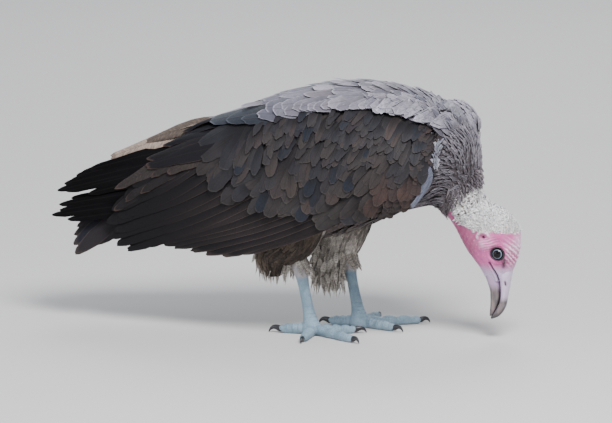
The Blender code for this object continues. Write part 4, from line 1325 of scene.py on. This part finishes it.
def build_bases(paint, pale):
    """Dark close feathering under the wings and the cape, so that no gap shows through."""
    for side in SIDES:
        form = wings[side]

        def wing_base(u, v):
            front = through(LEADING_EDGE, v)
            rear = through(np.array(GREATER_COVERT_TIPS, float) + (2, 6), v)
            seen = front + (rear - front) * u[..., None]
            seen[..., 1] += v ** 2 * 46 * np.sin(math.pi * u)
            return sunk(form, *wing_index(seen), 3.4)
        lens(f"wing_base_{side}", wing_base, 40, 30, 5.0, "plumage_dark", paint)

        def flight_base(u, v):
            ends = np.array(SECONDARY_ENDS, float)
            root, tip = through(ends[:, 0] + (4, 3), v), through(ends[:, 1] + (2, 3), v)
            seen = root + (tip - root) * (0.9 * u)[..., None]
            return sunk(form, *wing_index(seen), 7.0)
        lens(f"flight_base_{side}", flight_base, 30, 30, 1.5, "flight_black", paint)

    def cape_base(u, v):
        x = -108 + 316 * u
        place = cape_place(x, (2 * v - 1) * cape_edge(x, 3, 0.93))
        inward = unit(stack(x, 0 * x, *read_tables((WAIST_LINE,), x)) - place)
        deep = 3.6 + 8 * ease(x, 180, 208)
        return place + inward * deep[..., None], inward
    lens("cape_base", cape_base, 50, 40, 4.0, "plumage_dark", pale)

    def collar_base(u, v):
        return sunk(collar, 0.5 + u * (collar.points.shape[0] - 2), v * 0.999 * COLLAR_COLUMNS, 3.0)
    lens("collar_base", collar_base, 40, 61, 3.0, "plumage_dark", pale)


def build_scapulars(rng, finish):
    """Mantle and scapulars: small at the shoulders, long towards the rump, ragged at the edge."""
    plumage = Plumage()
    x, k = CAPE_FRONT, 0
    while x > CAPE_REAR:
        size = float(np.interp(x, *CAPE_SIZES))
        low = cape_edge(x, 0, 0.97)
        half = float(smooth_at(CAPE_HALF_WIDTH, x)[0])
        width = size * 0.4 + 5.5
        spacing = width * 0.6 / half
        count = int(low / spacing) + 1
        girth = (np.arange(-count, count + 1) + (0.5 if k % 2 else 0)) * spacing
        girth = girth[np.abs(girth) < low - (0.13 * size * CAPE_OVERLAP + 0.3 * width) / half]
        girth = girth + rng.normal(0, 0.25 * spacing, len(girth))
        near_edge = ease(np.abs(girth) / low, 0.72, 1.0)
        place = x + rng.normal(0, 0.22 * size, len(girth))
        length = size * CAPE_OVERLAP * rng.uniform(0.8, 1.15, len(girth))
        length = np.minimum(length, np.maximum(218 - place, 9))
        row, column = cape_at(place + length * 0.97, girth)
        around = unit(cape.read(cape.around, row, column)) * np.sign(girth)[:, None]
        slope = 0.04 + 0.2 * (np.abs(girth) / low) ** 2 + rng.normal(0, 0.09, len(girth))
        big = x < 40
        vane = (Vane(11, 7, stem=0.55, widest=0.45, tip=0.22, fray=0.18, jag=0.1, camber=0.22) if big
                else Vane(7, 5, tip=0.34, fray=0.35, jag=0.22, camber=0.2, thick=0.35))
        lay(plumage, cape, vane, row, column, around * slope[:, None] + (-1.0, 0, 0), length,
            width * rng.uniform(0.85, 1.15, len(girth)), rng,
            lift=rng.uniform(0.8, 2.4, len(girth)) + 2.2 * near_edge, tuck=3.0, base=1.4,
            tone=np.clip(rng.normal(0.35, 0.3, len(girth)) + 0.3 * near_edge - 0.35 * ease(-place, 0, 90), 0,
                         1), wear=np.clip(rng.normal(0.2, 0.3, len(girth)) + 0.45 * near_edge
                                          * ease(place, 40, 150), 0, 1))
        x -= size * 0.42
        k += 1
    # The cape's lower edge: an even row of large feathers, then torn narrow tips in front.
    for sign in (-1, 1):
        tips, at = line_points(((-26, 263), (-8, 270), (52, 277), (100, 279), (122, 277)), 9.0, rng)
        count = len(tips)
        way = compass(11 + 14 * at + rng.normal(0, 3, count))
        length = (50 - 20 * at) * rng.uniform(0.9, 1.1, count)
        tips = tips + rng.normal(0, 1.3, (count, 2))
        roots = tips + way * length[:, None]
        lay_on_cape(plumage, sign, Vane(12, 7, tip=0.16, fray=0.14, jag=0.07, camber=0.22, taper=0.3), roots,
                    tips, (18 - 6 * at) * rng.uniform(0.85, 1.1, count), rng, lift=rng.uniform(2.6, 4.2, count),
                    tuck=3.0, base=2.0, tone=np.clip(0.1 + 0.5 * at + rng.normal(0, 0.2, count), 0, 1),
                    wear=rng.uniform(0, 0.4, count))
        tips, _ = line_points(((112, 281), (130, 279), (148, 272), (168, 273), (184, 264), (200, 262)), 6.0,
                              rng)
        count = len(tips)
        tips = tips + stack(rng.normal(0, 2, count), rng.uniform(-3, 4, count))
        way = compass(rng.normal(27, 9, count))
        length = rng.uniform(16, 26, count)
        roots = tips + way * length[:, None]
        lay_on_cape(plumage, sign, Vane(7, 5, stem=0.6, widest=0.4, jag=0.28, camber=0.15, thick=0.4), roots,
                    tips, rng.uniform(11, 16, count), rng, lift=rng.uniform(2.5, 4.5, count), tuck=2.0,
                    base=2.0, tone=rng.uniform(0, 0.6, count), wear=rng.uniform(0.4, 1.0, count))
    # Feathers that stand up a little along the back.
    place = np.array((60, 52, 112, -50, 24), float)
    girth = np.array((-0.1, 0.22, -0.15, -0.2, 0.45))
    length = np.array((34, 34, 30, 40, 36), float)
    row, column = cape_at(place + length * 0.97, girth)
    count = len(place)
    heading = unit(cape.read(cape.around, row, column)) * (0.1 * np.sign(girth))[:, None] + (-1.0, 0, 0)
    lay(plumage, cape, Vane(14, 7, widest=0.45, tip=0.18, fray=0.12, jag=0.06, camber=0.24, thick=0.6), row,
        column, heading, length, length * 0.4, rng, lift=5.0, tuck=3.0, base=1.8, tone=0.6, wear=0.5)
    plumage.finish("scapular_feathers", "mantle_pale", finish, ["scapulars_left", "scapulars_right"])


def build_rump(rng, finish):
    """Broad blue-grey scapulars that reach over the rump from under the cape."""
    plumage = Plumage()
    for sign in (-1, 1):
        ends = np.array(((26, 270, -42, 256, 15), (10, 276, -64, 252, 18), (-4, 276, -90, 247, 16)), float)
        count = len(ends)
        lay_on_cape(plumage, sign, Vane(16, 9, tip=0.18, fray=0.1, camber=0.22, taper=0.3, thick=0.6),
                    ends[:, 0:2], ends[:, 2:4], ends[:, 4], rng, lift=3.0, tuck=3.0,
                    base=np.array((0.6, 1.2, 0.6)), tone=rng.uniform(0, 0.6, count), wear=0.1)
    plumage.finish("rump_feathers", "mantle_pale", finish)


def shoulder_place(polar, turn):
    """Ellipsoid of the far shoulder's raised feathers, polar angle from its front."""
    return stack(191 + 34 * np.cos(polar) + 0 * turn, 60 + 30 * np.sin(polar) * np.cos(turn),
                     238 + 39 * np.sin(polar) * np.sin(turn))


def build_shoulder(rng, finish, under):
    """Raised pale feathers that swell over the far wing's bend."""
    plumage = Plumage()
    polar, turn = np.linspace(0.12, 2.5, 30)[:, None], np.linspace(0, 2 * math.pi, 41)[None, :-1]
    form = Form(shoulder_place(polar, turn), True, 1)
    if np.sum(form.normals[10] * (form.points[10] - (191, 60, 238))) < 0:
        form.normals = -form.normals
    mesh_object("shoulder_base", *tube(form.points - 3.5 * form.normals), "plumage_dark", [under])
    row, column, _ = evenly(form, 1400, 0.15 + ease(form.points[..., 2], 195, 225), 4.4, rng)
    length = rng.uniform(15, 23, len(row))
    lay(plumage, form, Vane(7, 5, widest=0.45, tip=0.34, jag=0.16, camber=0.15, taper=0.35, thick=0.4), row,
        column, unit(form.read(form.along, row, column)) + np.array((-0.9, 0, 0.25)), length,
        rng.uniform(6, 9, len(row)), rng, lift=rng.uniform(0.4, 1.8, len(row)), tuck=2.5, base=0.0,
        tone=rng.uniform(0.6, 1, len(row)), wear=rng.uniform(0.85, 1, len(row)))
    plumage.finish("shoulder_feathers", "mantle_pale", finish)


# ---------------- body, trousers, neck

# Neck base between the wing bends: back edge x, z, belly edge x, z, half width.
COLLAR = ((150, 287, 122, 146, 85, 0), (178, 279, 150, 153, 85, 0), (202, 268, 170, 158, 77, 0),
          (221, 256, 185, 161, 64, 0), (235, 240, 189, 160, 49, 0), (239.5, 219, 192.5, 156, 38, 0),
          (242, 199, 197, 151, 31, 0))
COLLAR_COLUMNS = 90
collar_rings, _ = edge_rings(COLLAR, np.linspace(0, 1, 60), COLLAR_COLUMNS, 2.7)
collar = Form(collar_rings, True, -1)


def build_collar(rng, finish):
    """Soft streaky feathers from the neck back over the shoulders and breast."""
    plumage = Plumage()
    row, column, place = evenly(collar, 6000, ease(collar.points[..., 0], 120, 190) + 0.05, 3.6, rng)
    upper = ease(place[:, 2], 185, 250)
    front = ease(place[:, 0], 150, 235)
    length = (25 - 10 * front) * rng.uniform(0.8, 1.2, len(row))
    heading = -unit(collar.read(collar.along, row, column)) + np.array((0, 0, -0.55)) * (1 - upper[:, None])
    cloud = ripple(place, 22, 61)
    lay(plumage, collar, Vane(6, 4, stem=0.45, widest=0.45, tip=0.4, jag=0.2, taper=0.5, thick=0.35), row,
        column, heading + rng.normal(0, 0.1, (len(row), 3)), length, length * rng.uniform(0.22, 0.36, len(row)),
        rng, lift=rng.uniform(0.3, 1.7, len(row)), tuck=2.5, base=-0.6,
        tone=np.clip(0.45 - 0.35 * upper + 0.35 * cloud + rng.normal(0, 0.3, len(row)), 0, 1),
        wear=np.clip(0.15 + 0.4 * upper + rng.normal(0, 0.3, len(row)), 0, 1))
    plumage.finish("neck_base_feathers", "plumage_dark", finish)


# Root and tip of the pale crescent inside each wing's bend, x and z.
CRESCENT = np.array(((203.5, 220.0), (205.0, 171.0)))


def build_wing_bends(rng, finish):
    """A pale crescent of smooth feathers inside each wing's bend, and white tufts above it."""
    plumage = Plumage()
    for side in SIDES:
        lay_on_wing(plumage, side, Vane(18, 7, stem=0.14, tip=0.1, fray=0.0, jag=0.0, camber=0.3, taper=0.8,
                                        thick=0.6, sweep=-5.5), CRESCENT[:1], CRESCENT[1:], 8.5, rng, lift=1.0,
                    tuck=1.0, base=2.4, tone=0.1, wear=0.1)
        tips = stack(207.2 + rng.normal(0, 1.4, 60), np.linspace(214, 244, 60))
        roots = tips + stack(rng.normal(0.8, 1.2, 60), rng.uniform(5, 8, 60))
        lay_on_wing(plumage, side, Vane(6, 4, tip=0.5, fray=0.4, jag=0.3, taper=0.3, thick=0.35), roots, tips,
                    rng.uniform(1.6, 2.8, 60), rng, lift=rng.uniform(0.2, 1.0, 60), tuck=1.5,
                    base=1.5 if side == "right" else 0.4, tone=rng.uniform(0.3, 1, 60),
                    wear=rng.uniform(0, 0.9, 60))
    plumage.finish("wing_bend_feathers", "mantle_pale", finish)


def evenly(form, count, density, spacing, rng):
    """Rows, columns and places scattered over a form by a density, a spacing apart."""
    row, column = form.scatter(count, density, rng)
    place = form.read(form.points, row, column)
    keep = thinned(place, spacing)
    return row[keep], column[keep], place[keep]


def build_body_coat(rng, finish):
    """Breast, flanks, belly and rump: brown feathers with dark streaks."""
    plumage = Plumage()
    x = coat.points[..., 0]
    row, column, place = evenly(coat, 3000, (x < 200) * (0.5 + ease(x, 90, 150)), 6.6, rng)
    length = (27 - 8 * ease(place[:, 0], 120, 200)) * rng.uniform(0.8, 1.2, len(row))
    flow = -unit(coat.read(coat.along, row, column)) + np.array((0, 0, -0.25))
    lay(plumage, coat, Vane(6, 5, stem=0.4, tip=0.36, fray=0.4, jag=0.25, camber=0.2, thick=0.4), row, column,
        flow + rng.normal(0, 0.08, (len(row), 3)), length, length * 0.5, rng,
        lift=rng.uniform(0.6, 3.0, len(row)), tuck=2.5, base=-0.8, tone=rng.random(len(row)),
        wear=rng.random(len(row)) ** 1.5)
    # Lining feathers that close the hollow between each wing's leading edge and the body.
    for side in SIDES:
        for depth in range(4):
            edge, _ = line_points(LEADING_EDGE, 5.0, rng)
            row, column = wing_index(edge)
            roots = wings[side].read(wings[side].points, row, column)
            roots = roots + np.array((-3.0 - 4 * depth, SIDES[side] * (1.0 - 9 * depth), 4.0))
            tips = roots + np.array((-7, -21 * SIDES[side], -2)) + rng.normal(0, 1.0, roots.shape)
            lay_between(plumage, Vane(7, 5, stem=0.4, tip=0.36, jag=0.2, camber=0.2), roots, tips,
                        (1.0, 0, -0.5), rng.uniform(10, 14, len(roots)), rng,
                        arch=rng.uniform(1, 3, len(roots)))
    plumage.finish("body_feathers", "plumage_dark", finish)


THIGH_LINE = {"right": (38, 20, -6, -7), "left": (70, 60, 46, 41)}
THIGH_HEM = {"right": 70, "left": 50}


def thigh_form(side, girth):
    """Closed rings down a thigh, thinner by the share given."""
    apart, hem = ANKLE[side][1], THIGH_HEM[side]
    line = np.array([(x, SIDES[side] * (apart + out), z) for x, out, z in
                     zip(THIGH_LINE[side], (8, 7, 2, -2), (150, 118, hem + 24, hem))], float)
    at = np.linspace(0, 1, 30)
    path = through(line, at)
    radii = np.interp(at, (0, 0.33, 0.66, 1), np.array((31, 28, 20, 8)) * girth)
    return Form(tube_rings(path, radii, 36, (0.8, 1.2)), True, 1)


def build_trousers(side, rng, finish, under):
    """Wispy locks down the thigh that end in a ragged hem, pale on the inner side."""
    plumage = Plumage()
    form = thigh_form(side, 0.86)
    row, column, place = evenly(form, 2600, np.ones(form.points.shape[:2]), 3.7, rng)
    down = form.read(form.along, row, column)
    away = unit(form.read(form.normals, row, column))
    length = np.minimum(rng.uniform(22, 36, len(row)), np.maximum((place[:, 2] - THIGH_HEM[side]) * 1.15 + 9,
                                                                  13))
    inner = ease(-away[:, 1] * SIDES[side], -0.25, 0.35)
    rear = ease(-away[:, 0], 0.1, 0.8) * ease(-place[:, 2], -125, -95)
    shade = rng.normal(0, 0.16, len(row))
    lay(plumage, form, Vane(7, 5, stem=0.6, widest=0.45, tip=0.4, jag=0.15, taper=0.5, thick=0.6), row, column,
        unit(down) + away * 0.05 + rng.normal(0, 0.12, (len(row), 3)), length, rng.uniform(8, 13, len(row)),
        rng, lift=rng.uniform(0.4, 2.0, len(row)), tuck=1.5, base=0.8,
        tone=np.clip(rng.random(len(row)) * 0.35 + 0.8 * rear, 0, 1),
        wear=np.clip(inner * (1.0 - 0.7 * ease(place[:, 2], 112, 138) * ease(place[:, 0], 60, 85) + 0.5 * shade)
                     + 0.12 * rear + 0.15 * shade, 0, 1))
    mesh_object(f"thigh_core_{side}", *tube(thigh_form(side, 0.6).points[:20]), "trousers_brown", [under])
    # Wisps of down between the legs and a short cuff on the heel.
    apart, hem = ANKLE[side][1], THIGH_HEM[side]
    count = 240
    middle = THIGH_LINE[side][2], SIDES[side] * (apart - 8), hem + 30
    start = np.clip(rng.normal(0, 1, (count, 3)), -1.6, 1.6) * (12, 6, 12) + middle
    fall = rng.uniform(20, 32, count)
    end = start + stack(rng.normal(-2, 5, count), rng.normal(0, 4, count), -fall)
    end[:, 2] = np.maximum(end[:, 2], hem - 18)
    lay_between(plumage, Vane(6, 4, widest=0.3, fray=0.4, jag=0.3, camber=0.2, taper=0.85), start, end,
                unit(rng.normal(0, 1, (count, 3)) * (1, 1, 0.1)), rng.uniform(5, 9, count), rng,
                arch=rng.uniform(0, 2, count), lift=rng.normal(0, 1, count), tone=rng.random(count) * 0.7,
                wear=rng.uniform(0.7, 1.0, count))
    turn = rng.uniform(0, 2 * math.pi, 90)
    height = rng.uniform(82, 96, 90)
    axis = stack(ANKLE[side][0] - HEEL_LEAN * (height - ANKLE_HEIGHT), np.full(90, SIDES[side] * apart), height)
    out = stack(np.cos(turn), np.sin(turn), 0 * turn)
    lay_between(plumage, Vane(6, 4, stem=0.6, widest=0.4, tip=0.4, fray=0.35, jag=0.25, camber=0.1, taper=0.6),
                axis + out * 6.4, axis + out * rng.uniform(8.6, 10.4, 90)[:, None] + (3, 0, -1)
                * rng.uniform(12, 19, 90)[:, None] * (0.2, 1, 1), out, rng.uniform(4, 7, 90), rng, arch=1.2,
                tone=rng.random(90), wear=rng.uniform(0.6, 1, 90))
    plumage.finish(f"trousers_{side}", "trousers_brown", finish, [f"thigh_{side}"])


def build_down(rng, finish):
    """Short curly down over nape, crown and sides of the neck: hooked curls, finest on the
    crown, larger and looser towards the ruff."""
    plumage = Plumage()
    for coarse in (False, True):
        loose = ease(body.points[..., 2] - 0.35 * (body.points[..., 0] - 240), 134, 158)
        region = downy(body.points) * (loose if coarse else 1.02 - loose)
        row, column, place = evenly(body, 5200 if coarse else 15000, region + 1e-6, 2.1 if coarse else 1.35,
                                    rng)
        thin = 0.45 * ease(past_seam(place[:, 0], place[:, 2]), -18, 0) * ease(ripple(place, 3.2, 77), -0.5,
                                                                               0.5)
        keep = downy(place) * (1 - thin) > rng.random(len(row)) * 0.8
        row, column, place = row[keep], column[keep], place[keep]
        count = len(row)
        size = 1.45 if coarse else 1.0
        fleck = ease(past_seam(place[:, 0], place[:, 2]) + rng.normal(0, 6, count), -24, -1)
        length = size * rng.uniform(3.6, 5.8, count) * (0.65 + 0.35 * ease(place[:, 2], 132, 146))
        lay(plumage, body, Vane(5, 3, stem=0.6, widest=0.4, fray=0.4, jag=0.3, camber=0.3, taper=0.5,
                                curl=-0.2 if coarse else -0.15), row, column,
            -unit(body.read(body.along, row, column)) * (0.3 if coarse else 0.7)
            + rng.normal(0, 0.7, (count, 3)), length, size * rng.uniform(1.4, 2.4, count), rng,
            lift=size * rng.uniform(1.0, 3.0, count), tuck=0.3, base=0.45, tone=rng.random(count),
            wear=np.clip(rng.random(count) ** 4 * 0.6 + fleck * rng.random(count) ** 1.2, 0, 1))
    plumage.finish("down_head", "down_white", finish)


def build_ruff(rng, finish):
    """Spiky tufts round the base of the neck: they stand out towards the head at the nape and
    hang as narrow blades at the throat."""
    plumage = Plumage()
    x, z = coat.points[..., 0], coat.points[..., 2]
    seam = past_seam(x, z) - 6 * ease(x, 224, 238)
    region = ease(seam, -2, 1) * ease(-seam, -18, -11) * ease(x, 185, 200)
    row, column, place = evenly(coat, 3600, region + 1e-7, 2.4, rng)
    keep = (place[:, 2] < 226) & (place[:, 0] > 186) & (past_seam(place[:, 0], place[:, 2]) > -3)
    row, column, place = row[keep], column[keep], place[keep]
    nape = ease(place[:, 0], 218, 236)[:, None]
    way = unit(coat.read(coat.along, row, column))
    heading = way * 1.2 * nape + np.array((-0.3, 0, -1.0)) * (1 - nape) + rng.normal(0, 0.22, (len(row), 3))
    length = rng.uniform(7, 13, len(row)) + rng.uniform(3, 10, len(row)) * (1 - nape[:, 0])
    length = np.minimum(length, np.maximum(place[:, 2] - 146, 7))
    count = len(row)
    lay(plumage, coat, Vane(7, 4, stem=0.7, widest=0.3, tip=0.35, fray=0.35, jag=0.3, camber=0.25, taper=0.88),
        row, column, heading, length, rng.uniform(2.6, 4.6, count), rng,
        lift=rng.uniform(0.6, 2.2, count) + 4 * nape[:, 0] * rng.random(count), tuck=1.5, base=0.2,
        tone=rng.random(count), wear=np.clip(rng.random(count) ** 1.6 * (1 - 0.5 * nape[:, 0]), 0, 1))
    plumage.finish("ruff", "plumage_dark", finish)


# ---------------- floor, light, camera

# Metres and degrees from here on. Lights: place, size, power, tint.
FLOOR_REACH = 30.0
SKY, SKY_STRENGTH = (0.8, 0.88, 1.0, 1), 0.56
LIGHTS = (("key", (1.2, -1.6, 2.4), 1.3, 148, (0.965, 0.975, 1.0)),
          ("fill", (-2.0, -2.2, 0.8), 2.2, 26, (0.88, 0.93, 1.0)),
          ("back", (-0.4, 2.4, 2.2), 1.8, 48, (0.95, 0.98, 1.0)))
LIT_POINT = (0, 0, 0.15)
VIEW_AZIMUTH, VIEW_ELEVATION = 17, 10
VIEW_DISTANCE, VIEW_WIDTH = 16.0, 0.7344
# The middle of the picture lies this far to the right and up from the floor's middle.
VIEW_RIGHT, VIEW_UP = 0.0204, 0.1392
SENSOR = 36


def build_stage():
    """A wide pale floor, soft lights and the camera."""
    scene = bpy.context.scene
    floor = bpy.data.meshes.new("floor")
    floor.from_pydata([(FLOOR_REACH * x, FLOOR_REACH * y, 0) for x, y in ((-1, -1), (1, -1), (1, 1), (-1, 1))],
                      [], [(0, 1, 2, 3)])
    piece = bpy.data.objects.new("floor", floor)
    scene.collection.objects.link(piece)
    paint = Paint("floor_pale", 0.9)
    grain = paint.noise(paint.object_place(), 3.0, 2.0)
    paint.colour(paint.blend(grain, (0.6, 0.575, 0.55), (0.63, 0.605, 0.58)))
    floor.materials.append(paint.made)

    scene.world = bpy.data.worlds.new("studio")
    scene.world.use_nodes = True
    tint, strength = scene.world.node_tree.nodes["Background"].inputs[:2]
    tint.default_value, strength.default_value = SKY, SKY_STRENGTH

    def aimed(name, made, place, way):
        """Puts a lamp or camera at a place and points it the given way."""
        thing = bpy.data.objects.new(name, made)
        thing.location = place
        thing.rotation_mode = "QUATERNION"
        thing.rotation_quaternion = Vector(way).to_track_quat("-Z", "Y")
        scene.collection.objects.link(thing)
        return thing
    for name, place, size, power, tint in LIGHTS:
        lamp = bpy.data.lights.new(name, "AREA")
        lamp.shape, lamp.size, lamp.energy, lamp.color = "DISK", size, power, tint
        aimed(name, lamp, place, np.array(LIT_POINT) - place)

    azimuth, elevation = math.radians(VIEW_AZIMUTH), math.radians(VIEW_ELEVATION)
    right = np.array((math.cos(azimuth), math.sin(azimuth), 0))
    up = np.array((-math.sin(azimuth) * math.sin(elevation), math.cos(azimuth) * math.sin(elevation),
                   math.cos(elevation)))
    back = np.cross(right, up)
    lens = bpy.data.cameras.new("camera")
    lens.sensor_width = SENSOR
    lens.lens = SENSOR * VIEW_DISTANCE / VIEW_WIDTH
    lens.clip_end = 200
    scene.camera = aimed("camera", lens, right * VIEW_RIGHT + up * VIEW_UP + back * VIEW_DISTANCE, -back)


# Finishes of the feathers: their cool, warm, edge and worn colours, and where they leave the rule.
FINISHES = {
    "coverts": ((0.013, 0.016, 0.024), (0.04, 0.033, 0.031), (0.088, 0.074, 0.068), (0.078, 0.044, 0.034),
                dict(rim_from=0.9, rim_share=0.55, sheen=0.03, root_shade=0.8, gloss=0.18, rear_dark=0.86)),
    "secondaries": ((0.005, 0.0045, 0.007), (0.027, 0.02, 0.02), (0.11, 0.08, 0.068), (0.034, 0.025, 0.023),
                    dict(rim_from=0.84, rim_share=0.8, sheen=0.0, root_shade=0.3, gloss=0.14, across_tone=0.5,
                         rear_dark=0.97)),
    "primaries": ((0.0008, 0.0008, 0.001), (0.002, 0.0015, 0.0015), (0.006, 0.005, 0.005),
                  (0.003, 0.0025, 0.0025), dict(sheen=0.0, gloss=0.06)),
    "tertials": ((0.007, 0.008, 0.012), (0.018, 0.014, 0.013), (0.1, 0.062, 0.05), (0.55, 0.42, 0.34),
                 dict(rim_from=0.88, sheen=0.0, root_shade=0.2, gloss=0.1)),
    "tail": ((0.008, 0.01, 0.02), (0.026, 0.018, 0.015), (0.075, 0.055, 0.046), (0.022, 0.018, 0.018),
             dict(rim_from=0.86, sheen=0.0, root_shade=0.2, gloss=0.15)),
    "mantle": ((0.092, 0.09, 0.12), (0.205, 0.175, 0.2), (0.5, 0.47, 0.54), (0.5, 0.46, 0.53),
               dict(rim_from=0.84, root_shade=0.45)),
    "rump": ((0.012, 0.017, 0.027), (0.024, 0.027, 0.036), (0.12, 0.13, 0.16), (0.1, 0.1, 0.11),
             dict(rim_from=0.9, sheen=0.06)),
    "neck_base": ((0.2, 0.18, 0.21), (0.085, 0.063, 0.066), (0.32, 0.29, 0.32), (0.42, 0.39, 0.43),
                  dict(rim_from=0.75, root_shade=0.25)),
    "breast": ((0.035, 0.026, 0.026), (0.07, 0.046, 0.041), (0.13, 0.1, 0.09), (0.11, 0.085, 0.08),
               dict(sheen=0.08)),
    "ruff": ((0.22, 0.19, 0.22), (0.07, 0.047, 0.047), (0.34, 0.29, 0.31), (0.42, 0.38, 0.4),
             dict(sheen=0.08, root_shade=0.4)),
    "trousers": ((0.016, 0.011, 0.009), (0.2, 0.135, 0.09), (0.16, 0.12, 0.1), (0.90, 0.83, 0.74),
                 dict(rim_from=0.88, rim_share=0.3, sheen=0.08, root_shade=0.0)),
    "wing_bend": ((0.062, 0.073, 0.12), (0.36, 0.35, 0.39), (0.2, 0.21, 0.27), (0.44, 0.44, 0.5),
                  dict(rim_from=0.7, root_shade=0.1)),
}
LILAC, DEEP_LILAC = (0.66, 0.54, 0.7), (0.54, 0.42, 0.59)
PINK, DEEP_PINK = (0.52, 0.37, 0.53), (0.40, 0.27, 0.42)
SEED = 20240117

rng = np.random.default_rng(SEED)
build_stage()
build_skin(face_finish(), leg_finish())
eye_paint = eye_finish()
for side in SIDES:
    build_eye(side, eye_paint)
build_bill("upper_bill", UPPER_BILL, 90, horn_finish("bill_horn_upper", LILAC, DEEP_LILAC), True)
build_bill("lower_bill", LOWER_BILL, 60, horn_finish("bill_horn_lower", PINK, DEEP_PINK), False)
build_claws(claw_finish())
under, pale_under = Paint("feather_roots_dark", 0.8), Paint("feather_roots_grey", 0.8)
under.colour((0.022, 0.017, 0.016, 1))
pale_under.colour((0.075, 0.062, 0.068, 1))
build_bases(under.made, pale_under.made)
paints = {name: feather_finish("feathers_" + name, *colours, **rest)
          for name, (*colours, rest) in FINISHES.items()}
down = feather_finish("down_whitish", (0.88, 0.86, 0.86), (0.94, 0.93, 0.93), (0.95, 0.94, 0.94),
                      (0.15, 0.115, 0.1), roughness=0.8, sheen=0.25, root_shade=0.0)
for side in SIDES:
    build_coverts(side, rng, paints["coverts"])
    build_secondaries(side, rng, paints["secondaries"])
    build_primaries(side, rng, paints["primaries"])
    build_tertials(side, rng, paints["tertials"])
    build_trousers(side, rng, paints["trousers"], under.made)
build_tail(rng, paints["tail"])
build_scapulars(rng, paints["mantle"])
build_rump(rng, paints["rump"])
build_shoulder(rng, paints["mantle"], pale_under.made)
build_collar(rng, paints["neck_base"])
build_body_coat(rng, paints["breast"])
build_ruff(rng, paints["ruff"])
build_wing_bends(rng, paints["wing_bend"])
build_down(rng, down)
